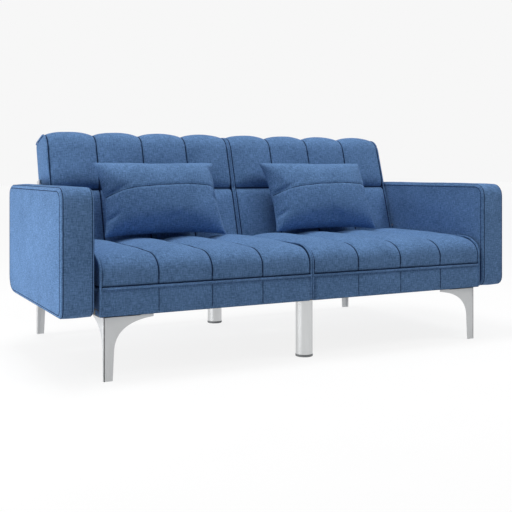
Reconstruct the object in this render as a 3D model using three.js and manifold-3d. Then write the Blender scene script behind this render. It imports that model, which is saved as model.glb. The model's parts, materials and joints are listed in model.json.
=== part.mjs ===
// A two-seat click-clack sofa bed, in millimetres, +Z up.
// The origin is on the floor under the middle of the sofa. It faces -Y, and left and right are
// as seen from the front. Both back halves recline about their own pins until they lie level
// with the seat. Every piece is its own closed solid.
import * as THREE from 'three';
import { mergeVertices } from 'three/addons/utils/BufferGeometryUtils.js';
import Module from 'manifold-3d';

const wasm = await Module();
wasm.setup();

// ---- Driving sizes -----------------------------------------------------------------------

const CLEARANCE = 0.3; // between pieces that touch
const RUNNING = 0.4; // round a pin that turns

const WIDTH = 1820; // over the arms
const FRAME_DEPTH = 926.5; // front plane of the seat to the rear legs
const LEG_HEIGHT = 207;

const ARM_WIDTH = 110;
const ARM_DEPTH = 767;
const ARM_HEIGHT = 411;
const ARM_LIFT = 2; // underside of the arm above the tops of the legs
const ARM_GAP = 15; // between an arm and the seat
const ARM_SKIN = 4; // padded fabric sleeve
const ARM_BOARD = 18;
const ARM_WEB = 9;

const CENTRE_GAP = 13; // between the two halves
const SEAT_DEPTH = 530;
const SEAT_TOP = 416;
const SKIN = 2.5; // fabric with its wadding

const RAIL_WIDTH = 40; // rectangular steel tube
const RAIL_HEIGHT = 22;
const RAIL_WALL = 2;
const RAIL_SETBACK = 20.2; // front tube behind the seat's front plane

const RECLINE = THREE.MathUtils.degToRad(16.5); // lean of the upright back
const TRAVEL = Math.PI / 2 - RECLINE; // upright to flat
const BACK_FRONT = 68; // front face of the back to the pivot line
const BACK_REAR = 110; // rear face to the pivot line
const BACK_UP = 502; // top of the back above the pivot
const BACK_DOWN = 74; // bottom of the back below the pivot
const BACK_BOARD = 18;
const BACK_BOARD_DEPTH = 64;
const PIVOT_BEHIND_SEAT = 95.7;

const PLATE = 4; // outer hinge plates
const CENTRE_PLATE = 3; // moving plates in the centre gap
const PIN_RADIUS = 6;
const BOLT_RADIUS = 4;
const RATCHET_RADIUS = 52;
const RATCHET_DEPTH = 7;
const RATCHET_STEPS = 5;

const WING = 169; // front wing of a corner leg
const SIDE_WING = 150;
const LEG_SHEET = 4;
const LEG_INSET_X = 33.5; // leg corner to the arm's inner face
const LEG_INSET_Y = 18.2; // leg corner to the seat's front plane
const SHANK = 30; // front face of a corner leg at the floor
const SIDE_SHANK = 12;
const TUBE_RADIUS = 31;
const TUBE_WALL = 2;
const CAP_HEIGHT = 8;
const CENTRE_LEG_FRONT = 60; // behind the seat's front plane
const CENTRE_LEG_REAR = 91.9; // in front of the rear legs' plane

const PILLOW_WIDTH = 512;
const PILLOW_HEIGHT = 326;
const PILLOW_THICKNESS = 124;
const PILLOW_EDGE = 7;
const PILLOW_PULL = 15; // how far the sides draw in between the corners
const PILLOW_LEAN = THREE.MathUtils.degToRad(27);
const PILLOW_FOOT = 452; // bottom edge behind the seat's front plane
const PILLOW_X = { left: -374, right: 352 };

const SPRING_WIRE = 2; // wire radius
const SPRING_WAVE = 28;
const SPRING_COUNT = 4;
const SPRING_WAVES = 4;

// ---- Places that follow from them ----------------------------------------------------------

const armInner = WIDTH / 2 - ARM_WIDTH;
const armBottom = LEG_HEIGHT + ARM_LIFT;
const armTop = armBottom + ARM_HEIGHT;
const halfInner = CENTRE_GAP / 2;
const halfOuter = armInner - ARM_GAP;
const railBottom = LEG_HEIGHT + CLEARANCE;
const railTop = railBottom + RAIL_HEIGHT;
const railOuter = halfOuter - SKIN - 0.5;
const railFront = RAIL_SETBACK;
const railRear = FRAME_DEPTH - 2;
const midRear = SEAT_DEPTH;
const springLevel = railTop + SPRING_WIRE + CLEARANCE;
const foamBottom = springLevel + SPRING_WIRE + 2;
const pivotY = SEAT_DEPTH + PIVOT_BEHIND_SEAT;
const pivotZ = SEAT_TOP - BACK_FRONT;
const fixedPlateX = halfOuter + 0.8;
const movingPlateX = fixedPlateX + PLATE + 0.5;

// ---- Materials -----------------------------------------------------------------------------

const finish = (color, roughness, metalness) => new THREE.MeshStandardMaterial({ color, roughness, metalness });
const fabric = finish(0x3f639c, 0.95, 0);
const pillowFabric = finish(0x3a5d96, 0.95, 0);
const darkCloth = finish(0x15171b, 0.9, 0);
const foam = finish(0xe9dfb8, 0.95, 0);
const timber = finish(0xc9a878, 0.7, 0);
const hardboard = finish(0x7d5b3c, 0.8, 0);
const blackSteel = finish(0x26282b, 0.5, 0.8);
const springSteel = finish(0x8d9196, 0.35, 0.9);
const zinc = finish(0xb9bdc2, 0.35, 0.9);
const silverPaint = finish(0xc9ccd0, 0.35, 0.7);
const brushedSteel = finish(0xb4b7ba, 0.3, 1);
const greyPlastic = finish(0x6d7073, 0.6, 0);
const elastic = finish(0x2f3238, 0.85, 0);

// ---- Solids --------------------------------------------------------------------------------

function toSolid(geometry) {
  const bare = geometry.clone();
  bare.deleteAttribute('normal');
  bare.deleteAttribute('uv');
  const merged = mergeVertices(bare, 1e-4);
  return new wasm.Manifold(new wasm.Mesh({
    numProp: 3,
    vertProperties: new Float32Array(merged.attributes.position.array),
    triVerts: new Uint32Array(merged.index.array),
  }));
}

function toGeometry(solid) {
  const mesh = solid.getMesh();
  const geometry = new THREE.BufferGeometry();
  geometry.setAttribute('position', new THREE.BufferAttribute(new Float32Array(mesh.vertProperties), 3));
  geometry.setIndex(new THREE.BufferAttribute(new Uint32Array(mesh.triVerts), 1));
  return geometry;
}

const join = (...geometries) => toGeometry(geometries.map(toSolid).reduce((a, b) => a.add(b)));

const cut = (geometry, ...tools) =>
  toGeometry(tools.map(toSolid).reduce((solid, tool) => solid.subtract(tool), toSolid(geometry)));

function block(x0, x1, y0, y1, z0, z1) {
  const geometry = new THREE.BoxGeometry(x1 - x0, y1 - y0, z1 - z0);
  return geometry.translate((x0 + x1) / 2, (y0 + y1) / 2, (z0 + z1) / 2);
}

// A shape drawn in Y and Z, pushed along X.
function pushX(shape, x0, x1, curveSegments = 3) {
  const geometry = new THREE.ExtrudeGeometry(shape, { depth: x1 - x0, bevelEnabled: false, curveSegments });
  const turn = new THREE.Matrix4().makeBasis(
    new THREE.Vector3(0, 1, 0), new THREE.Vector3(0, 0, 1), new THREE.Vector3(1, 0, 0));
  return geometry.applyMatrix4(turn).translate(x0, 0, 0);
}

// A shape drawn in X and Z, pushed along Y.
function pushY(shape, y0, y1, curveSegments = 4) {
  const geometry = new THREE.ExtrudeGeometry(shape, { depth: y1 - y0, bevelEnabled: false, curveSegments });
  return geometry.rotateX(Math.PI / 2).translate(0, y1, 0);
}

// A shape drawn in X and Y, pushed along Z.
function pushZ(shape, z0, z1, curveSegments = 4) {
  const geometry = new THREE.ExtrudeGeometry(shape, { depth: z1 - z0, bevelEnabled: false, curveSegments });
  return geometry.translate(0, 0, z0);
}

function rodX(radius, x0, x1, y, z, sides = 12) {
  const geometry = new THREE.CylinderGeometry(radius, radius, x1 - x0, sides);
  return geometry.rotateZ(-Math.PI / 2).translate((x0 + x1) / 2, y, z);
}

function polygon(points) {
  return new THREE.Shape(points.map(([a, b]) => new THREE.Vector2(a, b)));
}

// A straight bar of the given width between two points of the Y, Z plane.
function barYZ([ay, az], [by, bz], width, x0, x1) {
  const length = Math.hypot(by - ay, bz - az);
  const sideY = (-(bz - az) / length) * (width / 2);
  const sideZ = ((by - ay) / length) * (width / 2);
  const outline = polygon([
    [ay - sideY, az - sideZ],
    [by - sideY, bz - sideZ],
    [by + sideY, bz + sideZ],
    [ay + sideY, az + sideZ],
  ]);
  return pushX(outline, x0, x1);
}

// A rectangle with four corner radii, low a and low b first.
function roundedRectangle(a0, a1, b0, b1, { lowLow, highLow, highHigh, lowHigh }) {
  const shape = new THREE.Shape();
  shape.moveTo(a0 + lowLow, b0);
  shape.lineTo(a1 - highLow, b0);
  shape.absarc(a1 - highLow, b0 + highLow, highLow, -Math.PI / 2, 0, false);
  shape.absarc(a1 - highHigh, b1 - highHigh, highHigh, 0, Math.PI / 2, false);
  shape.absarc(a0 + lowHigh, b1 - lowHigh, lowHigh, Math.PI / 2, Math.PI, false);
  shape.absarc(a0 + lowLow, b0 + lowLow, lowLow, Math.PI, 1.5 * Math.PI, false);
  return shape;
}

// The same piece on the other side of the X = 0 plane.
function mirrored(geometry) {
  const copy = (geometry.index ? geometry.toNonIndexed() : geometry.clone()).scale(-1, 1, 1);
  const position = copy.attributes.position;
  const first = new THREE.Vector3();
  const second = new THREE.Vector3();
  for (let i = 0; i < position.count; i += 3) {
    first.fromBufferAttribute(position, i + 1);
    second.fromBufferAttribute(position, i + 2);
    position.setXYZ(i + 1, second.x, second.y, second.z);
    position.setXYZ(i + 2, first.x, first.y, first.z);
  }
  copy.deleteAttribute('normal');
  copy.deleteAttribute('uv');
  return copy;
}

const sofa = new THREE.Group();
sofa.position.y = -FRAME_DEPTH / 2;

function place(parent, name, geometry, material) {
  const mesh = new THREE.Mesh(geometry, material);
  mesh.name = name;
  parent.add(mesh);
  return mesh;
}

// Places a right-hand piece and its mirror image. The side's name goes where SIDE stands.
function placePair(parent, name, geometry, material) {
  place(parent, name.replace('SIDE', 'right'), geometry, material);
  place(parent, name.replace('SIDE', 'left'), mirrored(geometry), material);
}

// ---- Base frame ----------------------------------------------------------------------------

function railAlongX(x0, x1, y0) {
  const y1 = y0 + RAIL_WIDTH;
  return cut(
    block(x0, x1, y0, y1, railBottom, railTop),
    block(x0 - 1, x1 + 1, y0 + RAIL_WALL, y1 - RAIL_WALL, railBottom + RAIL_WALL, railTop - RAIL_WALL));
}

function railAlongY(x0, y0, y1) {
  const x1 = x0 + RAIL_WIDTH;
  return cut(
    block(x0, x1, y0, y1, railBottom, railTop),
    block(x0 + RAIL_WALL, x1 - RAIL_WALL, y0 - 1, y1 + 1, railBottom + RAIL_WALL, railTop - RAIL_WALL));
}

function addBaseFrame() {
  const sideFront = railFront + RAIL_WIDTH + CLEARANCE;
  const sideRear = railRear - RAIL_WIDTH - CLEARANCE;
  const midFront = midRear - RAIL_WIDTH;
  const sideInner = railOuter - RAIL_WIDTH;
  place(sofa, 'front_rail', railAlongX(-railOuter, railOuter, railFront), blackSteel);
  place(sofa, 'rear_rail', railAlongX(-railOuter, railOuter, railRear - RAIL_WIDTH), blackSteel);
  placePair(sofa, 'SIDE_rail', railAlongY(sideInner, sideFront, sideRear), blackSteel);
  place(sofa, 'mid_rail', railAlongX(-sideInner + CLEARANCE, sideInner - CLEARANCE, midFront), blackSteel);
  const centre = -RAIL_WIDTH / 2;
  place(sofa, 'centre_rail_front', railAlongY(centre, sideFront, midFront - CLEARANCE), blackSteel);
  place(sofa, 'centre_rail_rear', railAlongY(centre, midRear + CLEARANCE, sideRear), blackSteel);
}

// ---- Legs ----------------------------------------------------------------------------------

// One wing: a straight top, a tip 9 mm tall, and a hollow curve down to the shank.
function wingShape(length, shank, knee, tip) {
  const shape = new THREE.Shape();
  shape.moveTo(0, 0);
  shape.lineTo(shank, 0);
  shape.lineTo(knee, 95);
  shape.bezierCurveTo(knee + 3.5, 165, length * 0.56, LEG_HEIGHT - 17, length, LEG_HEIGHT - tip);
  shape.lineTo(length, LEG_HEIGHT);
  shape.lineTo(0, LEG_HEIGHT);
  return shape;
}

// A corner leg of bent sheet with its outer corner at the origin, its wings along +X and +Y,
// and a flange folded in under the tubes.
function cornerLeg() {
  const frontWing = pushY(wingShape(WING, SHANK, SHANK + 4.5, 9.5), 0, LEG_SHEET);
  const sideWing = pushX(wingShape(SIDE_WING, SIDE_SHANK, SIDE_SHANK + 4, 7), 0, LEG_SHEET, 4);
  const flange = pushZ(polygon([[0, 0], [125, 0], [0, 125]]), LEG_HEIGHT - LEG_SHEET, LEG_HEIGHT);
  return join(frontWing, sideWing, flange);
}

function addLegs() {
  const cornerX = armInner - LEG_INSET_X;
  const left = cornerLeg().translate(-cornerX, LEG_INSET_Y, 0);
  place(sofa, 'leg_front_left', left, silverPaint);
  place(sofa, 'leg_front_right', mirrored(left), silverPaint);
  const rearRight = cornerLeg().rotateZ(Math.PI).translate(cornerX, FRAME_DEPTH, 0);
  place(sofa, 'leg_rear_right', rearRight, silverPaint);
  place(sofa, 'leg_rear_left', mirrored(rearRight), silverPaint);

  for (const [name, y] of [['front', CENTRE_LEG_FRONT], ['rear', FRAME_DEPTH - CENTRE_LEG_REAR]]) {
    place(sofa, `centre_leg_${name}`, centreLegTube().translate(0, y, 0), brushedSteel);
    place(sofa, `centre_leg_${name}_cap`, centreLegCap().translate(0, y, 0), greyPlastic);
  }
}

function turned(profile, segments = 24) {
  const points = profile.map(([r, z]) => new THREE.Vector2(r, z));
  return new THREE.LatheGeometry(points, segments).rotateX(Math.PI / 2);
}

function centreLegTube() {
  const bottom = CAP_HEIGHT + CLEARANCE;
  const inner = TUBE_RADIUS - TUBE_WALL;
  return turned([
    [0, LEG_HEIGHT - 5], [inner, LEG_HEIGHT - 5], [inner, bottom], [TUBE_RADIUS, bottom],
    [TUBE_RADIUS, LEG_HEIGHT], [0, LEG_HEIGHT],
  ]);
}

function centreLegCap() {
  const plug = TUBE_RADIUS - TUBE_WALL - RUNNING - 0.2;
  return turned([
    [0, 0], [TUBE_RADIUS - 1, 0], [TUBE_RADIUS + 1, 2], [TUBE_RADIUS + 1, CAP_HEIGHT],
    [plug, CAP_HEIGHT], [plug, CAP_HEIGHT + 18], [0, CAP_HEIGHT + 18],
  ]);
}

// ---- Seat halves ---------------------------------------------------------------------------

function seatProfile(inset, bottom) {
  return roundedRectangle(inset, SEAT_DEPTH - inset, bottom, SEAT_TOP - inset, {
    lowLow: 4, highLow: 4, highHigh: 24 - inset, lowHigh: 50 - inset,
  });
}

function seatCover() {
  const outer = pushX(seatProfile(0, LEG_HEIGHT), halfInner, halfOuter);
  const inner = pushX(seatProfile(SKIN, LEG_HEIGHT - 20), halfInner + SKIN, halfOuter - SKIN);
  const overRails = railTop + CLEARANCE;
  const pastRear = block(0, halfOuter + 5, SEAT_DEPTH - 3 * SKIN, SEAT_DEPTH + 5, LEG_HEIGHT - 5, overRails);
  const pastCentre = block(0, halfInner + 2 * SKIN, railFront - 1, SEAT_DEPTH + 5, LEG_HEIGHT - 5, overRails);
  return cut(outer, inner, pastRear, pastCentre);
}

function seatFoam() {
  const gap = SKIN + CLEARANCE;
  return pushX(seatProfile(gap, foamBottom), halfInner + gap, halfOuter - gap);
}

// Sinuous wires front to back, held in step by three tie wires.
function seatSprings() {
  const start = railFront + RAIL_WIDTH / 2;
  const length = midRear - RAIL_WIDTH / 2 - start;
  const inner = RAIL_WIDTH / 2 + SPRING_WAVE;
  const outer = railOuter - RAIL_WIDTH - SPRING_WAVE;
  const wire = new THREE.Shape();
  wire.absarc(0, 0, SPRING_WIRE, 0, 2 * Math.PI, false);
  const pieces = [];
  for (let i = 0; i < SPRING_COUNT; i += 1) {
    const x = inner + ((i + 0.5) / SPRING_COUNT) * (outer - inner);
    const points = [];
    const stations = 8 * SPRING_WAVES;
    for (let k = 0; k <= stations; k += 1) {
      const wave = SPRING_WAVE * Math.sin((2 * Math.PI * SPRING_WAVES * k) / stations);
      points.push(new THREE.Vector3(x + wave, start + (length * k) / stations, springLevel));
    }
    const extrudePath = new THREE.CatmullRomCurve3(points);
    pieces.push(new THREE.ExtrudeGeometry(wire, { steps: stations, curveSegments: 3, extrudePath }));
  }
  for (const y of [start + 4, start + length / 2, start + length - 4]) {
    pieces.push(rodX(SPRING_WIRE * 0.8, inner - SPRING_WAVE / 2, outer + SPRING_WAVE / 2, y, springLevel, 6));
  }
  return join(...pieces);
}

function seatDustCover() {
  const inner = RAIL_WIDTH / 2 + CLEARANCE;
  const outer = railOuter - RAIL_WIDTH - CLEARANCE;
  const front = railFront + RAIL_WIDTH + CLEARANCE;
  const rear = midRear - RAIL_WIDTH - CLEARANCE;
  return block(inner, outer, front, rear, railBottom + 1, railBottom + 2.5);
}

function addSeats() {
  placePair(sofa, 'seat_SIDE_springs', seatSprings(), springSteel);
  placePair(sofa, 'seat_SIDE_foam', seatFoam(), foam);
  placePair(sofa, 'seat_SIDE_cover', seatCover(), fabric);
  placePair(sofa, 'seat_SIDE_dust_cover', seatDustCover(), darkCloth);
}

// ---- Back halves ---------------------------------------------------------------------------
// Drawn in the back's own frame: +Z up the back and +Y rearwards, with the pins on the X axis.

const frameFront = BACK_REAR - 6 - BACK_BOARD_DEPTH;
const frameRear = BACK_REAR - 6;
const frameTop = BACK_UP - 32;
const frameBottom = 10;
const sideBolts = [220, 300];
const boltY = (frameFront + frameRear) / 2;

function backProfile(inset) {
  return roundedRectangle(-BACK_FRONT + inset, BACK_REAR - inset, -BACK_DOWN + inset, BACK_UP - inset, {
    lowLow: 40 - inset, highLow: 55 - inset, highHigh: 30 - inset, lowHigh: 72 - inset,
  });
}

// Rods along X through the hinge bolts' places, for holes and for the bolts themselves.
const boltRods = (radius, x0, x1) => sideBolts.map((z) => rodX(radius, x0, x1, boltY, z, 8));

function backCover() {
  const outer = pushX(backProfile(0), halfInner, halfOuter);
  const inner = pushX(backProfile(SKIN), halfInner + SKIN, halfOuter - SKIN);
  const mouth = block(halfInner + 12, halfOuter - 12, -15, 45, -BACK_DOWN - 5, -BACK_DOWN + 8);
  const holes = boltRods(BOLT_RADIUS + RUNNING, halfInner - 5, halfOuter + 5);
  return cut(outer, inner, mouth, ...holes);
}

function backFoam() {
  const gap = SKIN + CLEARANCE;
  const whole = pushX(backProfile(gap), halfInner + gap, halfOuter - gap);
  const behind = block(0, halfOuter, frameFront - 3, BACK_REAR + 10, frameBottom - CLEARANCE, BACK_UP + 10);
  return cut(whole, behind);
}

function backWebbing() {
  const x0 = halfInner + SKIN + 2;
  const x1 = halfOuter - SKIN - 2;
  const y0 = frameFront - 2.5;
  const y1 = frameFront - CLEARANCE;
  const straps = [];
  for (let i = 1; i <= 4; i += 1) {
    const x = x0 + ((x1 - x0) * i) / 5;
    straps.push(block(x - 25, x + 25, y0, y1, frameBottom + 2, frameTop - 2));
  }
  for (let i = 1; i <= 3; i += 1) {
    const z = frameBottom + ((frameTop - frameBottom) * i) / 4;
    straps.push(block(x0, x1, y0, y1, z - 25, z + 25));
  }
  return join(...straps);
}

function addBackBoards(group) {
  const x0 = halfInner + SKIN + CLEARANCE;
  const x1 = halfOuter - SKIN - CLEARANCE;
  const holes = boltRods(BOLT_RADIUS + RUNNING, halfInner - 5, halfOuter + 5);
  const upright = (from, to) => cut(block(from, to, frameFront, frameRear, frameBottom, frameTop), ...holes);
  placePair(group, 'back_SIDE_outer_board', upright(x1 - BACK_BOARD, x1), timber);
  placePair(group, 'back_SIDE_inner_board', upright(x0, x0 + BACK_BOARD), timber);
  const left = x0 + BACK_BOARD + CLEARANCE;
  const right = x1 - BACK_BOARD - CLEARANCE;
  const bottom = block(left, right, frameFront, frameRear, frameBottom, frameBottom + BACK_BOARD);
  const top = block(left, right, frameFront, frameRear, frameTop - BACK_BOARD, frameTop);
  placePair(group, 'back_SIDE_bottom_board', bottom, timber);
  placePair(group, 'back_SIDE_top_board', top, timber);
  const panel = block(x0, x1, frameRear + CLEARANCE, BACK_REAR - SKIN - CLEARANCE, frameBottom, frameTop);
  placePair(group, 'back_SIDE_rear_panel', panel, hardboard);
}

// ---- Hinges --------------------------------------------------------------------------------

// The rim that the pawl drops into, with a notch for each stop of the back.
function ratchetShape() {
  const points = [];
  const root = RATCHET_RADIUS - RATCHET_DEPTH;
  const pitch = TRAVEL / RATCHET_STEPS;
  const halfRoot = THREE.MathUtils.degToRad(4.4);
  const halfRim = THREE.MathUtils.degToRad(5.3);
  const at = (radius, angle) => [radius * Math.sin(angle), radius * Math.cos(angle)];
  for (let i = 0; i <= RATCHET_STEPS; i += 1) {
    const centre = RECLINE + i * pitch;
    points.push(at(RATCHET_RADIUS, centre - halfRim));
    points.push(at(root, centre - halfRoot));
    points.push(at(root, centre + halfRoot));
    points.push(at(RATCHET_RADIUS, centre + halfRim));
  }
  const from = RECLINE + TRAVEL + halfRim;
  const to = 2 * Math.PI + RECLINE - halfRim;
  const plain = 14;
  for (let i = 1; i < plain; i += 1) {
    points.push(at(RATCHET_RADIUS, from + ((to - from) * i) / plain));
  }
  return polygon(points.reverse());
}

const armStuds = [110, 300, 490]; // behind the seat's front plane
const studZ = railTop + 27;

function outerFixedPlate() {
  const x0 = fixedPlateX;
  const x1 = fixedPlateX + PLATE;
  const wheel = pushX(ratchetShape(), x0, x1).translate(0, pivotY, pivotZ);
  const neck = block(x0, x1, pivotY - 34, pivotY + 34, railTop, pivotZ - 10);
  const sole = block(x0, x1, pivotY - 60, pivotY + 60, railBottom, railTop + 20);
  const spacer = block(railOuter + CLEARANCE, x0 + 1, pivotY - 60, pivotY + 60, railBottom, railTop);
  const rail = block(x0, x1, armStuds[0] - 50, pivotY, studZ - 20, studZ + 20);
  const holes = armStuds.map((y) => rodX(BOLT_RADIUS + RUNNING, x0 - 2, x1 + 2, y, studZ, 8));
  const bore = rodX(PIN_RADIUS + RUNNING, x0 - 5, x1 + 5, pivotY, pivotZ, 16);
  return cut(join(wheel, neck, sole, spacer, rail), bore, ...holes);
}

function centreFixedPlate() {
  const half = PLATE / 2;
  const head = rodX(24, -half, half, pivotY, pivotZ, 16);
  const neck = block(-half, half, pivotY - 24, pivotY + 24, railTop + CLEARANCE, pivotZ);
  const sole = block(-18, 18, pivotY - 45, pivotY + 45, railTop + CLEARANCE, railTop + CLEARANCE + 3);
  const bore = rodX(PIN_RADIUS + RUNNING, -half - 5, half + 5, pivotY, pivotZ, 16);
  return cut(join(head, neck, sole), bore);
}

function outerPin() {
  const start = halfOuter + 0.4;
  const headStart = movingPlateX + PLATE + CLEARANCE;
  return join(
    rodX(PIN_RADIUS, start, headStart + 1, pivotY, pivotZ),
    rodX(10, headStart, headStart + 3, pivotY, pivotZ));
}

const pawlPivot = [-43, 61]; // in the back's frame, ahead of the pins and above them

// The arm of a hinge that is bolted to the side of the back's frame.
function hingeArm(x0, x1) {
  const bend = [boltY, 150];
  return [
    rodX(22, x0, x1, 0, 0, 16),
    barYZ([0, 0], bend, 36, x0, x1),
    rodX(18, x0, x1, ...bend),
    barYZ(bend, [boltY, sideBolts[1] + 20], 36, x0, x1),
  ];
}

function outerMovingPlate() {
  const x0 = movingPlateX;
  const x1 = movingPlateX + PLATE;
  const ear = barYZ([0, 30], pawlPivot, 20, x0, x1);
  const earEnd = rodX(10, x0, x1, ...pawlPivot);
  const stub = rodX(BOLT_RADIUS, fixedPlateX, x0 + 1, ...pawlPivot, 8);
  const bosses = boltRods(8, halfOuter + CLEARANCE, x0 + 1);
  const bolts = boltRods(BOLT_RADIUS, halfOuter - BACK_BOARD, x0 + 1);
  const bore = rodX(PIN_RADIUS + RUNNING, x0 - 5, x1 + 5, 0, 0, 16);
  return cut(join(...hingeArm(x0, x1), ear, earEnd, stub, ...bosses, ...bolts), bore);
}

function innerMovingPlate() {
  const x0 = PLATE / 2 + RUNNING;
  const x1 = x0 + CENTRE_PLATE;
  const bosses = boltRods(8, x1 - 1, halfInner - CLEARANCE);
  const bolts = boltRods(BOLT_RADIUS, x1 - 1, halfInner + SKIN + BACK_BOARD);
  const bore = rodX(PIN_RADIUS + RUNNING, x0 - 1, x1 + 1, 0, 0, 16);
  return cut(join(...hingeArm(x0, x1), ...bosses, ...bolts), bore);
}

// A short lever beside the ratchet, drawn lifted clear of the notches.
function pawl() {
  const x0 = fixedPlateX;
  const x1 = fixedPlateX + PLATE;
  const [py, pz] = pawlPivot;
  const tooth = block(x0, x1, -3, 3, RATCHET_RADIUS - RATCHET_DEPTH + 2, 60);
  const lever = barYZ([py, pz], [3, 60.5], 9, x0, x1);
  const eye = rodX(9, x0, x1, py, pz);
  const tail = barYZ([py, pz], [py - 22, pz + 5], 8, x0, x1);
  const bore = rodX(BOLT_RADIUS + RUNNING, x0 - 2, x1 + 2, py, pz);
  const lift = THREE.MathUtils.degToRad(9);
  return cut(join(tooth, lever, eye, tail), bore)
    .translate(0, -py, -pz)
    .rotateX(lift)
    .translate(0, py, pz);
}

function addHinges(back) {
  placePair(sofa, 'hinge_plate_SIDE', outerFixedPlate(), zinc);
  place(sofa, 'hinge_plate_centre', centreFixedPlate(), zinc);
  placePair(sofa, 'hinge_pin_SIDE', outerPin(), zinc);
  const centrePin = rodX(PIN_RADIUS, -halfInner + 0.4, halfInner - 0.4, pivotY, pivotZ);
  place(sofa, 'hinge_pin_centre', centrePin, zinc);
  placePair(back, 'hinge_arm_SIDE_outer', outerMovingPlate(), zinc);
  placePair(back, 'hinge_arm_SIDE_inner', innerMovingPlate(), zinc);
  placePair(back, 'pawl_SIDE', pawl(), zinc);
}

function addBacks() {
  const back = new THREE.Group();
  back.position.set(0, pivotY, pivotZ);
  back.rotation.x = -RECLINE;
  sofa.add(back);
  addBackBoards(back);
  placePair(back, 'back_SIDE_webbing', backWebbing(), elastic);
  placePair(back, 'back_SIDE_foam', backFoam(), foam);
  placePair(back, 'back_SIDE_cover', backCover(), fabric);
  addHinges(back);
}

// ---- Arms ----------------------------------------------------------------------------------

function armProfile(inset) {
  return roundedRectangle(inset, ARM_DEPTH - inset, armBottom + inset, armTop - inset, {
    lowLow: 32 - inset, highLow: 64 - inset, highHigh: 40 - inset, lowHigh: 45 - inset,
  });
}

const studHoles = (x0, x1) => armStuds.map((y) => rodX(BOLT_RADIUS + RUNNING, x0, x1, y, studZ, 8));

function armCover() {
  const outer = pushX(armProfile(0), armInner, WIDTH / 2);
  const inner = pushX(armProfile(ARM_SKIN), armInner + ARM_SKIN, WIDTH / 2 - ARM_SKIN);
  const mouth = block(armInner + 20, WIDTH / 2 - 20, 90, ARM_DEPTH - 110, armBottom - 5, armBottom + 10);
  return cut(outer, inner, mouth, ...studHoles(armInner - 5, armInner + 10));
}

// A ring of boards with a thin board across its middle.
function armCore() {
  const gap = ARM_SKIN + CLEARANCE;
  const x0 = armInner + gap;
  const x1 = WIDTH / 2 - gap;
  const middle = (x0 + x1) / 2;
  const body = pushX(armProfile(gap), x0, x1);
  const pocketInner = pushX(armProfile(gap + ARM_BOARD), x0 - 5, middle - ARM_WEB / 2);
  const pocketOuter = pushX(armProfile(gap + ARM_BOARD), middle + ARM_WEB / 2, x1 + 5);
  return cut(body, pocketInner, pocketOuter, ...studHoles(x0, x1));
}

// The spacer bar between the hinge plate and the arm, with the three studs that hold the arm on.
function armMount() {
  const x0 = fixedPlateX + PLATE + CLEARANCE;
  const x1 = armInner - CLEARANCE;
  const reach = WIDTH / 2 - ARM_WIDTH / 2 + ARM_WEB / 2 + 8;
  const bar = block(x0, x1, armStuds[0] - 40, armStuds[2] + 30, studZ - 16, studZ + 16);
  const studs = armStuds.map((y) => rodX(BOLT_RADIUS, fixedPlateX, reach, y, studZ, 8));
  return join(bar, ...studs);
}

function addArms() {
  placePair(sofa, 'arm_SIDE_core', armCore(), timber);
  placePair(sofa, 'arm_SIDE_cover', armCover(), fabric);
  placePair(sofa, 'arm_SIDE_mount', armMount(), zinc);
}

// ---- Pillows -------------------------------------------------------------------------------

// A box whose faces swell in the middle and whose sides draw in between pointed corners.
function pillowGeometry() {
  const geometry = new THREE.BoxGeometry(PILLOW_WIDTH, PILLOW_EDGE, PILLOW_HEIGHT, 12, 1, 8);
  const position = geometry.attributes.position;
  const swell = (t) => Math.sqrt(Math.max(0, 1 - t ** 4));
  for (let i = 0; i < position.count; i += 1) {
    const a = position.getX(i) / (PILLOW_WIDTH / 2);
    const b = position.getZ(i) / (PILLOW_HEIGHT / 2);
    const half = PILLOW_EDGE / 2 + ((PILLOW_THICKNESS - PILLOW_EDGE) / 2) * swell(a) * swell(b);
    position.setX(i, a * (PILLOW_WIDTH / 2 - PILLOW_PULL * (1 - b * b)));
    position.setZ(i, b * (PILLOW_HEIGHT / 2 - PILLOW_PULL * 0.6 * (1 - a * a)));
    position.setY(i, Math.sign(position.getY(i)) * half);
  }
  return geometry;
}

function addPillows() {
  for (const side of ['left', 'right']) {
    const pillow = place(sofa, `pillow_${side}`, pillowGeometry(), pillowFabric);
    const middle = PILLOW_HEIGHT / 2;
    const rest = SEAT_TOP + 2 + (PILLOW_EDGE / 2) * Math.sin(PILLOW_LEAN);
    const y = PILLOW_FOOT + middle * Math.sin(PILLOW_LEAN);
    pillow.position.set(PILLOW_X[side], y, rest + middle * Math.cos(PILLOW_LEAN));
    pillow.rotation.x = -PILLOW_LEAN;
  }
}

addBaseFrame();
addLegs();
addSeats();
addBacks();
addArms();
addPillows();

export default sofa;
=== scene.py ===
"""Looks for a two-seat click-clack sofa bed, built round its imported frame.

Places are in metres in the frame's own coordinates: X to the right as seen from the front,
Y to the rear and Z up, with the origin on the floor under the middle of the sofa. Sizes that
belong to one kind of piece are properties of the scene, and every place comes from the frame.
"""

import json
import math

import bmesh
import bpy
from bpy.props import FloatProperty, FloatVectorProperty, IntProperty, PointerProperty
from mathutils import Matrix, Vector, noise
from mathutils.bvhtree import BVHTree
from mathutils.geometry import interpolate_bezier


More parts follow.
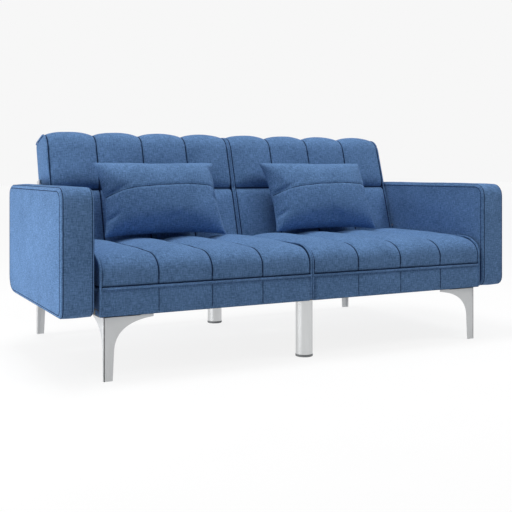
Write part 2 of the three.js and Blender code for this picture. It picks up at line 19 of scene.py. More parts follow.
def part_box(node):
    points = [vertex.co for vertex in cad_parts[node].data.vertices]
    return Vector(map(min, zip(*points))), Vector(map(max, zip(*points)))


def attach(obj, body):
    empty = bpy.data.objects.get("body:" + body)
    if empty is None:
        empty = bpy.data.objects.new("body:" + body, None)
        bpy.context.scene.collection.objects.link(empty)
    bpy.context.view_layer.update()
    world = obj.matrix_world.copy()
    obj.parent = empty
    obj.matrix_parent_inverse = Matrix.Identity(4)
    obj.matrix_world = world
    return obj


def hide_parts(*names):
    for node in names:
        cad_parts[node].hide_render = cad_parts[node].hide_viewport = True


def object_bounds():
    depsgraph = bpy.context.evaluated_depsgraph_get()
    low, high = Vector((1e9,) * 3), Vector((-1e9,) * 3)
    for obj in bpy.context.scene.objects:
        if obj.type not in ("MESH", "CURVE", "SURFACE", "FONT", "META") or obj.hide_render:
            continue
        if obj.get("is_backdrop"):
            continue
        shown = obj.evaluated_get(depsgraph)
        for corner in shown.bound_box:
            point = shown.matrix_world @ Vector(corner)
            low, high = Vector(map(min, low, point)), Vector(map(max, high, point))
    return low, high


bl_info = {
    "name": "Sofa Bed Looks",
    "version": (1, 0, 0),
    "blender": (4, 5, 0),
    "location": "3D View > Sidebar > Sofa Bed",
    "description": "Upholstery, legs, finishes and studio for a click-clack sofa bed",
    "category": "Object",
}

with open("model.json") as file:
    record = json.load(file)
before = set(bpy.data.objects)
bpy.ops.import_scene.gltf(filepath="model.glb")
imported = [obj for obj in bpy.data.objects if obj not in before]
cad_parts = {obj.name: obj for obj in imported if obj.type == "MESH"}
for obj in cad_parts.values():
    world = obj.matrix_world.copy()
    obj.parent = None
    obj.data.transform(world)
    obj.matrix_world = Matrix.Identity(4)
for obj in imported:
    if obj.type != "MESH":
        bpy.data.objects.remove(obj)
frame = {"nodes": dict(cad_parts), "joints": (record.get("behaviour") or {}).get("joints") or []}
CAD_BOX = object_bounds()
JOINTS = {joint["name"]: joint for joint in frame["joints"]}
SIDES = {"left": -1, "right": 1}
CLOTH_MAP = "cloth"
# Name of the mask that paints shade into the cloth's colour beside each seam.
PAINTED_FOLD_SHADE = "fold"


# ---- Sizes and colours a user would change ---------------------------------------------------


def length(name, description, default):
    return FloatProperty(name=name, description=description, default=default, unit="LENGTH")


def colour(name, description, default):
    return FloatVectorProperty(
        name=name, description=description, default=default, size=3, subtype="COLOR", min=0, max=1
    )


class SofaCloth(bpy.types.PropertyGroup):
    """The heathered cover cloth and the shade painted into its seams."""

    light: colour("Light yarn", "Lighter yarn of the cloth", (0.185, 0.350, 0.660))
    dark: colour("Dark yarn", "Darker yarn of the cloth", (0.082, 0.172, 0.345))
    # Painted shade: the dark colour painted into the cloth beside each seam and onto the dark seam lines.
    thread: colour("Seam", "Shaded cloth folded into the seams", (0.013, 0.031, 0.085))
    pitch: length("Weave pitch", "Distance between neighbouring yarns", 0.0020)
    slub: length("Slub length", "Length of a thick place in a yarn", 0.022)


class SofaSeat(bpy.types.PropertyGroup):
    """The seat halves."""

    channels: IntProperty(name="Channels", description="Sewn channels in each half", default=4)
    crown: length("Crown", "Rise of a channel above its seams", 0.014)
    front_crown: length("Front crown", "Rise of a channel on the front face", 0.006)
    roll_depth: length("Roll depth", "Depth of the rolled front edge", 0.092)
    roll_height: length("Roll height", "Height of the rolled front edge", 0.060)
    slope: length("Slope", "Rise of the top from the front to the middle", 0.005)
    band_height: length("Band height", "Height of the plain band at the front", 0.092)
    piping: length("Piping", "Radius of the piping cord", 0.0042)


class SofaBack(bpy.types.PropertyGroup):
    """The back halves."""

    crown: length("Crown", "Rise of a channel above its seams", 0.014)
    top_crown: length("Top crown", "Rise of a channel along the top edge", 0.017)
    cross_seam: length("Cross seam", "Height of the cross seam above the hinge pins", 0.2507)
    cross_reach: length("Cross reach", "Distance over which the cloth rises beside the cross seam", 0.075)
    piping: length("Piping", "Radius of the piping cord", 0.0036)


class SofaArm(bpy.types.PropertyGroup):
    """The padded arms."""

    edge: length("Edge radius", "Rounding between the band and the side panels", 0.012)
    front_top: length("Front top corner", "Radius of the front top corner", 0.045)
    front_bottom: length("Front bottom corner", "Radius of the front bottom corner", 0.032)
    rear_top: length("Rear top corner", "Radius of the rear top corner", 0.040)
    rear_bottom: length("Rear bottom corner", "Radius of the rear bottom corner", 0.064)
    seam_inset: length("Seam inset", "Distance of each seam line from the arm's edge", 0.0085)


class SofaPillow(bpy.types.PropertyGroup):
    """The loose pillows."""

    width: length("Width", "Corner to corner", 0.512)
    height: length("Height", "Corner to corner", 0.326)
    thickness: length("Thickness", "Thickness in the middle", 0.138)
    pull: length("Pull", "How far the sides draw in between the corners", 0.015)
    lean: FloatProperty(name="Lean", description="Lean against the back", default=math.radians(27), unit="ROTATION")
    seam_height: length("Seam height", "Height of the arched seam over the middle", 0.014)
    seam_arch: length("Seam arch", "Rise of the arched seam", 0.004)
    seam_tilt: length("Seam tilt", "Rise of the arched seam to the right", 0.011)


class SofaLegs(bpy.types.PropertyGroup):
    """The sheet-metal corner legs and the round legs."""

    sheet: length("Sheet", "Thickness of a corner leg's sheet", 0.004)
    shank: length("Shank", "Width of the front wing at the floor", 0.030)
    side_shank: length("Side shank", "Width of the side wing at the floor", 0.012)
    knee: length("Knee", "Height at which a wing starts to widen", 0.095)
    wall: length("Tube wall", "Wall of a round leg", 0.002)


class SofaStage(bpy.types.PropertyGroup):
    """The studio."""

    paper: FloatProperty(name="Backdrop", description="Brightness seen behind the sofa", default=0.93)
    sky: FloatProperty(name="Sky", description="Light from straight above, fading to the horizon", default=0.78)
    bounce: FloatProperty(name="Bounce", description="Light returned by the floor paper", default=0.49)
    key: FloatProperty(name="Key", description="Power of the low light on the left", default=21, unit="POWER")
    top: FloatProperty(name="Top", description="Power of the light above", default=80, unit="POWER")
    side: FloatProperty(name="Side", description="Power of the light on the front right", default=20, unit="POWER")


GROUPS = {
    "sofa_cloth": SofaCloth,
    "sofa_seat": SofaSeat,
    "sofa_back": SofaBack,
    "sofa_arm": SofaArm,
    "sofa_pillow": SofaPillow,
    "sofa_legs": SofaLegs,
    "sofa_stage": SofaStage,
}


# ---- Node materials ---------------------------------------------------------------------------


class Wire:
    """A shader socket that takes part in arithmetic. Each operation adds one Math node."""

    def __init__(self, finish, socket):
        self.finish = finish
        self.socket = socket

    def math(self, operation, *values):
        return self.finish.node("Math", {"operation": operation}, dict(enumerate(values)))

    def __add__(self, other):
        return self.math("ADD", self, other)

    def __radd__(self, other):
        return self.math("ADD", other, self)

    def __sub__(self, other):
        return self.math("SUBTRACT", self, other)

    def __rsub__(self, other):
        return self.math("SUBTRACT", other, self)

    def __mul__(self, other):
        return self.math("MULTIPLY", self, other)

    def __rmul__(self, other):
        return self.math("MULTIPLY", other, self)

    def __truediv__(self, other):
        return self.math("DIVIDE", self, other)

    def sine(self):
        return self.math("SINE", self)

    def clamped(self):
        return self.math("MINIMUM", self.math("MAXIMUM", self, 0.0), 1.0)


class Finish:
    """A node material while it is being made. Plain values go straight on the shader's sockets."""

    def __init__(self, name, **shader_values):
        self.material = bpy.data.materials.new(name)
        self.material.use_nodes = True
        self.tree = self.material.node_tree
        self.shader = self.tree.nodes["Principled BSDF"]
        self.plug(self.shader, {key.replace("_", " "): value for key, value in shader_values.items()})

    def plug(self, node, sockets):
        for key, value in sockets.items():
            if isinstance(value, Wire):
                self.tree.links.new(value.socket, node.inputs[key])
            else:
                node.inputs[key].default_value = value

    def node(self, kind, settings=None, sockets=None, output=0):
        """Adds a shader node, makes its settings, then fills its sockets, and returns one output."""
        made = self.tree.nodes.new("ShaderNode" + kind)
        for key, value in (settings or {}).items():
            setattr(made, key, value)
        self.plug(made, sockets or {})
        return Wire(self, made.outputs[output])

    def place(self):
        return self.node("TexCoord", output="Object")

    def stretched(self, vector, scale, rotation=(0, 0, 0)):
        return self.node("Mapping", sockets={"Vector": vector, "Scale": scale, "Rotation": rotation})

    def speckle(self, vector, scale, detail=2.0, roughness=0.5):
        sockets = {"Vector": vector, "Scale": scale, "Detail": detail, "Roughness": roughness}
        return self.node("TexNoise", sockets=sockets)

    def blend(self, factor, first, second):
        return self.node("Mix", {"data_type": "RGBA"}, {0: factor, 6: rgba(first), 7: rgba(second)}, output=2)

    def bump(self, height, strength, distance):
        sockets = {"Height": height, "Strength": strength, "Distance": distance}
        return self.node("Bump", sockets=sockets, output=0)

    def done(self, **shader_wires):
        self.plug(self.shader, {key.replace("_", " "): wire for key, wire in shader_wires.items()})
        return self.material


def rgba(value):
    return value if isinstance(value, Wire) else (*tuple(value)[:3], 1.0)


def cloth_finish(name, light, dark):
    """Plain-woven heathered cloth: slubby warp and weft yarns over a fine weave, with shade painted in beside the
    seams.
    """
    sizes = bpy.context.scene.sofa_cloth
    made = Finish(name, Roughness=0.93, Specular_IOR_Level=0.12)
    made.plug(made.shader, {"Sheen Weight": 0.08, "Sheen Roughness": 0.5, "Sheen Tint": (0.55, 0.75, 1.0, 1.0)})
    uv = made.node("UVMap", {"uv_map": CLOTH_MAP})
    fine, long = 1 / (sizes.pitch * 1.5), 1 / sizes.slub
    warp = made.speckle(made.stretched(uv, (fine, long, 1)), 1.0, 2.5, 0.6)
    weft = made.speckle(made.stretched(uv, (long, fine, 1)), 1.0, 2.5, 0.6)
    melange = made.speckle(made.stretched(uv, (170, 170, 1)), 1.0, 3.0, 0.65)
    shading = made.speckle(made.place(), 9.0, 2.0)
    flecks = ((made.speckle(made.stretched(uv, (260, 260, 1)), 1.0, 1.0) - 0.66) * 9.0).clamped()
    tone = 0.46 + (warp - 0.5) * 1.9 + (weft - 0.5) * 1.9 + (melange - 0.5) * 1.1 + (shading - 0.5) * 0.6 + flecks * 0.8
    split = made.node("SeparateXYZ", sockets={0: made.stretched(uv, (math.tau / sizes.pitch,) * 3)})
    across = Wire(made, split.socket.node.outputs[1])
    weave = split.sine() * across.sine()
    height = weave * 0.5 + warp * 0.6 + weft * 0.6
    grain = (1 - weave) * 0.05
    # Painted shade: the fold mask darkens the cloth towards the seam shade colour beside each seam.
    folded = made.node("Attribute", {"attribute_name": PAINTED_FOLD_SHADE}, output="Fac") * 0.88
    return made.done(
        Base_Color=made.blend(folded, made.blend((tone - grain).clamped(), dark, light), sizes.thread),
        Normal=made.bump(height, 0.55, 0.0009),
    )


def seam_shade_finish(colour_value):
    # Painted shade: the dark lines laid along the seams stand for the shade in each seam's gap, with a faint mottle in
    # that dark.
    made = Finish("seam_thread", Roughness=0.95, Specular_IOR_Level=0.1)
    uv = made.node("UVMap", {"uv_map": CLOTH_MAP})
    shade_line_mottle = made.speckle(made.stretched(uv, (420, 420, 1)), 1.0)
    darker = [part * 0.55 for part in colour_value]
    return made.done(Base_Color=made.blend(shade_line_mottle, darker, colour_value), Normal=made.bump(shade_line_mottle, 0.4, 0.0006))


def painted_finish(name, base, metallic, roughness, mottle=0.06, orange_peel=0.08):
    """Paint, plating or rolled metal: a faint mottle in colour and roughness and a fine surface."""
    made = Finish(name, Metallic=metallic)
    place = made.place()
    cloud = made.speckle(place, 14.0, 3.0)
    grain = made.speckle(place, 900.0, 1.0)
    worn = [min(1.0, part * (1 + 2 * mottle)) for part in base]
    dull = [part * (1 - 2 * mottle) for part in base]
    return made.done(
        Base_Color=made.blend(cloud, dull, worn),
        Roughness=roughness + (cloud - 0.5) * 0.12,
        Normal=made.bump(grain, orange_peel, 0.0002),
    )


def brushed_finish():
    """Brushed steel tube: hairlines run along the tube."""
    made = Finish("brushed_tube", Metallic=1.0)
    hairline = made.speckle(made.stretched(made.place(), (1300, 1300, 9)), 1.0, 3.0, 0.6)
    cloud = made.speckle(made.place(), 11.0)
    return made.done(
        Base_Color=made.blend(hairline, (0.50, 0.51, 0.515), (0.66, 0.67, 0.675)),
        Roughness=0.26 + hairline * 0.14 + (cloud - 0.5) * 0.05,
        Normal=made.bump(hairline, 0.12, 0.0003),
    )


def timber_finish(name, pale, deep, spread):
    """Sawn wood or board, with its grain along X."""
    made = Finish(name, Roughness=0.72)
    grain = made.speckle(made.stretched(made.place(), spread), 1.0, 6.0, 0.62)
    return made.done(Base_Color=made.blend(grain, deep, pale), Normal=made.bump(grain, 0.35, 0.0007))


def foam_finish():
    made = Finish("foam", Roughness=0.95, Subsurface_Weight=0.1)
    cells = made.speckle(made.place(), 420.0, 2.0)
    return made.done(
        Base_Color=made.blend(cells, (0.62, 0.52, 0.30), (0.82, 0.74, 0.50)), Normal=made.bump(cells, 0.6, 0.001)
    )


def felt_finish(name, pale, deep, scale):
    """Non-woven lining or elastic webbing."""
    made = Finish(name, Roughness=0.9, Specular_IOR_Level=0.2)
    fibre = made.speckle(made.stretched(made.place(), (scale, scale * 0.25, scale)), 1.0, 4.0, 0.6)
    return made.done(Base_Color=made.blend(fibre, deep, pale), Normal=made.bump(fibre, 0.5, 0.0006))


def make_finishes():
    """Every finish, by the record's material slot. The dark seam lines take their own, which is painted shade."""
    sizes = bpy.context.scene.sofa_cloth
    return {
        "fabric_blue": cloth_finish("fabric_blue", sizes.light, sizes.dark),
        "pillow_blue": cloth_finish("pillow_blue", sizes.light, sizes.dark),
        "seam_thread": seam_shade_finish(sizes.thread),
        "black_cloth": felt_finish("black_cloth", (0.020, 0.021, 0.024), (0.006, 0.006, 0.008), 500),
        "elastic": felt_finish("elastic", (0.050, 0.055, 0.065), (0.018, 0.020, 0.026), 350),
        "foam": foam_finish(),
        "timber": timber_finish("timber", (0.60, 0.41, 0.21), (0.38, 0.23, 0.10), (9, 120, 120)),
        "hardboard": timber_finish("hardboard", (0.24, 0.12, 0.05), (0.13, 0.065, 0.028), (240, 240, 240)),
        "black_steel": painted_finish("black_steel", (0.018, 0.019, 0.021), 0.2, 0.42),
        "spring_steel": painted_finish("spring_steel", (0.33, 0.34, 0.36), 0.95, 0.34),
        "zinc_plate": painted_finish("zinc_plate", (0.55, 0.57, 0.60), 0.95, 0.36),
        "silver_paint": painted_finish("silver_paint", (0.70, 0.715, 0.725), 0.35, 0.36, 0.02),
        "brushed_tube": brushed_finish(),
        "grey_plastic": painted_finish("grey_plastic", (0.23, 0.24, 0.25), 0.0, 0.50, 0.04, 0.2),
    }


def finish_of(slot):
    return bpy.data.materials[FINISH_PREFIX + slot]


FINISH_PREFIX = "sofa_"


# ---- Mesh tools -------------------------------------------------------------------------------


LEAST_CROWN = 0.0003  # below this a crown is only rounding error in a normal


def outline(corners, spacing):
    """A closed outline of (y, z) points through rounded corners.

    A corner is (y, z, reach along y, reach along z). Its quarter ellipse and the straights are
    divided to the spacing, and a corner with no reach is one point.
    """
    rounded = []
    for index, (y, z, reach_y, reach_z) in enumerate(corners):
        here = Vector((y, z))
        back = (Vector(corners[index - 1][:2]) - here).normalized()
        ahead = (Vector(corners[(index + 1) % len(corners)][:2]) - here).normalized()
        reach_back = abs(back.x) * reach_y + abs(back.y) * reach_z
        reach_ahead = abs(ahead.x) * reach_y + abs(ahead.y) * reach_z
        steps = max(1, round((reach_y + reach_z) * 0.8 / spacing)) if reach_y else 0
        for step in range(steps + 1):
            angle = step / max(1, steps) * math.pi / 2
            rounded.append(here + back * reach_back * (1 - math.sin(angle)) + ahead * reach_ahead * (1 - math.cos(angle)))
    points = []
    for start, end in zip(rounded, rounded[1:] + rounded[:1]):
        pieces = max(1, round((end - start).length / spacing))
        points += [start.lerp(end, piece / pieces) for piece in range(pieces)]
    return points


def outward(points):
    """The outline's outward normal at each point."""
    area = sum(a.x * b.y - b.x * a.y for a, b in zip(points, points[1:] + points[:1]))
    turn = 1 if area > 0 else -1
    normals = []
    for index, _ in enumerate(points):
        along = points[(index + 1) % len(points)] - points[index - 1]
        normals.append((Vector((along.y, -along.x)) * turn).normalized())
    return normals


def swept(points, stations, lift, crease, cap_rings=(), cap_cell=None):
    """A closed body: the outline carried along X, each point raised along its normal by lift(x, index).

    crease(x, index) is 1 where the cloth folds into a seam and 0 away from seams. cap_rings are
    (inset, rise) steps that dome the end faces, and cap_cell divides what is left of them.
    """
    bm = bmesh.new()
    index_layer = bm.verts.layers.int.new("outline")
    fold_shade_layer = bm.verts.layers.float.new(PAINTED_FOLD_SHADE)
    ring = [bm.verts.new((stations[0], point.x, point.y)) for point in points]
    for index, vert in enumerate(ring):
        vert[index_layer] = index
    edges = [bm.edges.new(pair) for pair in zip(ring, ring[1:] + ring[:1])]
    ends = [edges]
    for start, end in zip(stations, stations[1:]):
        made = bmesh.ops.extrude_edge_only(bm, edges=edges)["geom"]
        edges = [item for item in made if isinstance(item, bmesh.types.BMEdge)]
        verts = [item for item in made if isinstance(item, bmesh.types.BMVert)]
        bmesh.ops.translate(bm, verts=verts, vec=(end - start, 0, 0))
    ends.append(edges)
    normals = outward(points)
    for vert in bm.verts:
        index = vert[index_layer]
        # Painted shade: the crease value goes into the fold mask, which darkens the cloth's colour beside each seam.
        vert[fold_shade_layer] = crease(vert.co.x, index)
        rise = lift(vert.co.x, index) * normals[index]
        vert.co += Vector((0, rise.x, rise.y))
    caps = [bmesh.ops.contextual_create(bm, geom=end)["faces"][0] for end in ends]
    bmesh.ops.recalc_face_normals(bm, faces=bm.faces)
    for cap in caps:
        for inset, rise in cap_rings:
            bmesh.ops.inset_region(bm, faces=[cap], thickness=inset, depth=rise, use_even_offset=False, use_boundary=True)
        if cap_cell:
            divide_cap(bm, cap, cap_cell)
    return bm


def divide_cap(bm, cap, cell):
    """Cuts a flat end face into cells, so that it can bulge."""
    faces = [cap]
    for axis in (1, 2):
        values = [vert.co[axis] for vert in cap.verts] if axis == 1 else [v.co[axis] for f in faces for v in f.verts]
        low, high = min(values), max(values)
        count = max(2, round((high - low) / cell))
        normal = Vector((0, 1, 0)) if axis == 1 else Vector((0, 0, 1))
        for step in range(1, count):
            level = low + (high - low) * step / count
            edges = {edge for face in faces for edge in face.edges}
            verts = {vert for face in faces for vert in face.verts}
            cut = bmesh.ops.bisect_plane(
                bm, geom=[*faces, *edges, *verts], dist=1e-6, plane_co=normal * level, plane_no=normal
            )
            faces = [item for item in cut["geom"] if isinstance(item, bmesh.types.BMFace)]


def steps_between(seams, inner, outer, steps):
    """Stations along X that are close together beside each seam and even in between."""
    stations = {inner, outer}
    for start, end in zip(seams, seams[1:]):
        half = (end - start) / 2
        stations.update(start + step for step in steps if step < half)
        stations.update(end - step for step in steps if step < half)
        stations.add(start + half)
    return sorted(stations)


def pad_rise(distance, half):
    """The rise of stuffed cloth, 0 at a seam and 1 in the middle between two."""
    share = min(1.0, max(0.0, distance / half))
    return (1 - (1 - share) ** 2.1) ** 0.72


def channel_rise(x, seams):
    """How far the cloth has risen between the channel seams at x."""
    for start, end in zip(seams, seams[1:]):
        if start <= x <= end:
            half = (end - start) / 2
            return pad_rise(half - abs(x - start - half), half)
    return 0.0


def folded_at(distance, width=0.0026):
    """1 on a seam, falling to 0 beside it."""
    return math.exp(-((distance / width) ** 2))


def nearest(x, seams):
    return min(abs(x - seam) for seam in seams)


def smoothstep(value, low, high):
    share = min(1.0, max(0.0, (value - low) / (high - low)))
    return share * share * (3 - 2 * share)


def pucker(x, y, z, size, seed):
    """A smooth random value between about -1 and 1, the same on every run."""
    return noise.noise(Vector((x / size + seed, y / size, z / size)))


def gathers(x, point, distance, seed):
    """Small gathers that run out from a seam where the cloth is drawn in."""
    strength = 0.0016 * math.exp(-distance / 0.022) * (1 - folded_at(distance, 0.004))
    return strength * noise.noise(Vector((x / 0.06 + seed, (point.x + point.y) / 0.016, (point.x - point.y) / 0.03)))


def new_piece(name, bm):
    """An object at the origin that holds the mesh."""
    mesh = bpy.data.meshes.new(name)
    bm.to_mesh(mesh)
    bm.free()
    piece = bpy.data.objects.new(name, mesh)
    bpy.context.scene.collection.objects.link(piece)
    return piece


def tubes(name, paths, radius, closed=False, sides=2):
    """Round cords along the paths, as one mesh."""
    curve = bpy.data.curves.new(name, "CURVE")
    curve.dimensions = "3D"
    curve.bevel_depth = radius
    curve.bevel_resolution = sides
    curve.use_fill_caps = True
    for path in paths:
        spline = curve.splines.new("POLY")
        spline.points.add(len(path) - 1)
        for point, place in zip(spline.points, path):
            point.co = (*place, 1)
        spline.use_cyclic_u = closed
    holder = bpy.data.objects.new(name + "_line", curve)
    mesh = bpy.data.meshes.new_from_object(holder)
    bpy.data.objects.remove(holder)
    bpy.data.curves.remove(curve)
    bm = bmesh.new()
    bm.from_mesh(mesh)
    bpy.data.meshes.remove(mesh)
    bmesh.ops.remove_doubles(bm, verts=bm.verts, dist=1e-6)
    bmesh.ops.recalc_face_normals(bm, faces=bm.faces)
    return new_piece(name, bm)


def apply_modifiers(piece):
    """Puts the modifiers' result in the mesh."""
    depsgraph = bpy.context.evaluated_depsgraph_get()
    old = piece.data
    piece.data = bpy.data.meshes.new_from_object(piece.evaluated_get(depsgraph), depsgraph=depsgraph)
    piece.modifiers.clear()
    bpy.data.meshes.remove(old)


def subdivide(piece, levels=1):
    modifier = piece.modifiers.new("Smooth", "SUBSURF")
    modifier.levels = levels
    modifier.render_levels = levels
    apply_modifiers(piece)


def inflate(piece, held, pressure, cap, steps=20):
    """Fills a cloth shell with air for a moment. Held points stay on their seams, and the cap limits the rest."""
    scene = bpy.context.scene
    start = [vert.co.copy() for vert in piece.data.vertices]
    group = piece.vertex_groups.new(name="seams")
    group.add([index for index, place in enumerate(start) if held(place)], 1.0, "REPLACE")
    cloth = piece.modifiers.new("Air", "CLOTH")
    cloth.settings.use_pressure = True
    cloth.settings.uniform_pressure_force = pressure
    cloth.settings.effector_weights.gravity = 0
    cloth.settings.vertex_group_mass = group.name
    cloth.settings.quality = 5
    cloth.settings.tension_stiffness = 20
    cloth.settings.compression_stiffness = 20
    cloth.settings.bending_stiffness = 0.6
    cloth.point_cache.frame_start = 1
    cloth.point_cache.frame_end = steps
    for number in range(1, steps + 1):
        scene.frame_set(number)
    apply_modifiers(piece)
    for vert, origin in zip(piece.data.vertices, start):
        move = vert.co - origin
        if move.length > cap:
            vert.co = origin + move.normalized() * cap
    piece.vertex_groups.clear()
    scene.frame_set(1)


def lay_cloth(piece):
    """Lays a cloth map in metres on the mesh, from whichever direction each face looks."""
    mesh = piece.data
    layer = mesh.uv_layers.get(CLOTH_MAP) or mesh.uv_layers.new(name=CLOTH_MAP)
    for face in mesh.polygons:
        size = [abs(part) for part in face.normal]
        axis = size.index(max(size))
        first, second = ((1, 2), (0, 2), (0, 1))[axis]
        for loop in face.loop_indices:
            place = mesh.vertices[mesh.loops[loop].vertex_index].co
            layer.data[loop].uv = (place[first], place[second])


def finish_piece(piece, body, slot, material=None, replaced=()):
    """Smooth faces, the finish named by the slot, the body, and hides the frame's pieces that the piece stands for."""
    for face in piece.data.polygons:
        face.use_smooth = True
    piece.data.materials.clear()
    piece.data.materials.append(finish_of(material or slot))
    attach(piece, body)
    if replaced:
        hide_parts(*replaced)
    return piece


def surface_of(piece):
    """A search tree of the piece's surface."""
    bm = bmesh.new()
    bm.from_mesh(piece.data)
    tree = BVHTree.FromBMesh(bm)
    bm.free()
    return tree


def laid_on(tree, points, directions, height, reach=0.06):
    """The points dropped on the surface against their directions, then raised by the height."""
    path = []
    for point, direction in zip(points, directions):
        hit = tree.ray_cast(point + direction * reach, -direction, 2 * reach)[0]
        if hit is not None:
            path.append(hit + direction * height)
    return path


def at_x(x, points, normals, first, last):
    """The stretch of an outline between two of its points, at x, with its directions."""
    chosen = range(first, last + 1)
    return (
        [Vector((x, points[i % len(points)].x, points[i % len(points)].y)) for i in chosen],
        [Vector((0, normals[i % len(points)].x, normals[i % len(points)].y)) for i in chosen],
    )


# ---- Seat ---------------------------------------------------------------------------------------

SEAM_STEPS = (0.0, 0.0018, 0.0045, 0.009, 0.016, 0.025, 0.036, 0.050, 0.066, 0.082)
END_SEAM = 0.008  # the end seam behind a half's outer face
SEAM_RADIUS = 0.0019


class SOFA_OT_seats(bpy.types.Operator):
    """Build both seat halves: channelled tops, plain bands, piping, and dark lines of painted shade in the seams"""

    bl_idname = "sofa.seats"
    bl_label = "Seat halves"

    def execute(self, context):
        for side, sign in SIDES.items():
            build_seat(context.scene.sofa_seat, side, sign)
        return {"FINISHED"}


def build_seat(sizes, side, sign):
    low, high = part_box(f"seat_{side}_cover")
    foam_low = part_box(f"seat_{side}_foam")[0]
    inner, outer = sorted((abs(low.x), abs(high.x)))
    front, rear, top = low.y, high.y, high.z
    parting = low.z + sizes.band_height
    seams = [inner + 0.002 + (outer - END_SEAM - inner - 0.002) * step / sizes.channels for step in range(sizes.channels + 1)]

    valley_front = front + sizes.front_crown - 0.001
    valley_top = top - sizes.crown + 0.002
    corners = [
        (valley_front, valley_top, sizes.roll_depth, sizes.roll_height),
        (rear - 0.002, valley_top, 0.024, 0.024),
        (rear - 0.002, parting + 0.003, 0.006, 0.006),
        (valley_front, parting + 0.003, 0.005, 0.005),
    ]
    points = outline(corners, 0.011)
    normals = outward(points)
    knee = valley_top - sizes.roll_height

    def weight(index):
        point, normal = points[index], normals[index]
        if point.x > rear - 0.05:
            return sizes.crown * smoothstep(rear - 0.002 - point.x, 0, 0.04) * max(0.0, normal.y)
        if normal.y > 0.02:
            return sizes.front_crown + (sizes.crown - sizes.front_crown) * smoothstep(normal.y, 0, 0.9)
        if point.x < front + 0.03:
            return sizes.front_crown * smoothstep(point.y, parting + 0.002, parting + 0.03)
        return 0.0

    weights = [weight(index) if weight(index) > LEAST_CROWN else 0.0 for index in range(len(points))]

    def lift(x, index):
        away = abs(x)
        point = points[index]
        rise = weights[index] * channel_rise(away, seams)
        if weights[index]:
            rise += 0.0012 * channel_rise(away, seams) * pucker(x, point.x, point.y, 0.055, 3.0)
            rise += gathers(x, point, nearest(away, seams), 13.0)
        if away > seams[-1]:
            rise -= 0.0040 * smoothstep(away, seams[-1], outer - 0.005)
        if normals[index].y > 0.0:
            rise -= sizes.slope * normals[index].y * (1 - smoothstep(point.x, front + 0.07, front + 0.24))
        return rise

    # Painted shade: this crease mask darkens the cloth's colour beside the seat's seams.
    def crease(x, index):
        return folded_at(nearest(abs(x), seams)) if weights[index] else 0.0

    stations = [sign * x for x in steps_between(seams, inner + 0.001, outer - 0.004, SEAM_STEPS)]
    rings = ((0.003, 0.0006), (0.004, 0.0006), (0.005, 0.0004))  # together less than the corners allow
    bm = swept(points, stations, lift, crease, cap_rings=rings, cap_cell=0.05)
    cushion = new_piece(f"seat_{side}_cushion", bm)
    inflate(cushion, lambda place: held_seat(place, seams, rear, parting), 3.0, 0.005)
    subdivide(cushion)
    lay_cloth(cushion)
    finish_piece(cushion, "root", "fabric_blue", replaced=[f"seat_{side}_cover", f"seat_{side}_foam"])

    build_seat_band(sizes, side, sign, (inner, outer, front, rear, low.z, parting, foam_low.z))
    trim_seat(sizes, side, sign, cushion, points, normals, seams, (inner, outer, front, parting, rear))


def held_seat(place, seams, rear, parting):
    """True on the seams, under the cushion and at its rear."""
    away = abs(place.x)
    on_seam = any(abs(away - seam) < 0.0004 for seam in seams)
    return on_seam or away > seams[-1] or place.y > rear - 0.02 or place.z < parting + 0.012


def seam_stretch(points, normals, start_z, rear_y):
    """The outline's indices from the front piping up and over to the rear, in order."""
    chosen = [
        i for i, (p, n) in enumerate(zip(points, normals)) if p.y > start_z and p.x < rear_y and (n.x < -0.05 or n.y > 0.05)
    ]
    return sorted(chosen, key=lambda i: (points[i].x, points[i].y))


def trim_seat(sizes, side, sign, cushion, points, normals, seams, places):
    """Dark lines of painted shade in the seams and above the band, end piping and the piping above the band."""
    inner, outer, front, parting, rear = places
    tree = surface_of(cushion)
    chosen = seam_stretch(points, normals, parting + 0.004, rear - 0.012)
    paths = []
    for seam in seams[1:-1]:
        line = [Vector((sign * seam, points[i].x, points[i].y)) for i in chosen]
        facing = [Vector((0, normals[i].x, normals[i].y)) for i in chosen]
        paths.append(laid_on(tree, line, facing, 0.0003))
    for seam in (seams[0] + 0.0015, seams[-1]):
        line = [Vector((sign * seam, points[i].x, points[i].y)) for i in chosen]
        facing = [Vector((0, normals[i].x, normals[i].y)) for i in chosen]
        paths.append(laid_on(tree, line, facing, 0.0))
    # Painted shade: faint dark lines down the band below each channel seam, and dark lines along the seams above.
    faint = [[Vector((sign * seam, front + 0.0022, z)) for z in (parting - 0.084, parting - 0.008)] for seam in seams[1:-1]]
    band_seam_shade = tubes(f"seat_{side}_band_seams", faint, 0.0008)
    lay_cloth(band_seam_shade)
    finish_piece(band_seam_shade, "root", "fabric_blue", material="seam_thread")
    level = parting + 0.0042
    across = [Vector((sign * x, front + 0.0045, level)) for x in (inner, outer - 0.004)]
    paths.append(across)
    seam_shade_lines = tubes(f"seat_{side}_seams", paths, SEAM_RADIUS)
    lay_cloth(seam_shade_lines)
    finish_piece(seam_shade_lines, "root", "fabric_blue", material="seam_thread")

    cords = []
    for x, radius in ((outer - sizes.piping, sizes.piping), (0.0039, 0.0035)):
        line = [Vector((sign * x, points[i].x, points[i].y)) for i in chosen]
        facing = [Vector((0, normals[i].x, normals[i].y)) for i in chosen]
        path = [place + direction * 0.001 for place, direction in zip(line, facing)]
        foot = [Vector((sign * x, path[0].y + 0.0005, z)) for z in (parting - 0.086, parting - 0.04, parting)]
        cords.append((foot + path, radius))
    horizontal = [Vector((sign * x, front + 0.0028, parting - 0.001)) for x in (inner - 0.002, outer - 0.0095)]
    end_piping = tubes(f"seat_{side}_outer_piping", [cords[0][0]], cords[0][1], sides=3)
    inner_piping = tubes(f"seat_{side}_inner_piping", [cords[1][0]], cords[1][1], sides=3)
    front_piping = tubes(f"seat_{side}_front_piping", [horizontal], sizes.piping, sides=3)
    for cord in (end_piping, inner_piping, front_piping):
        lay_cloth(cord)
        finish_piece(cord, "root", "fabric_blue")


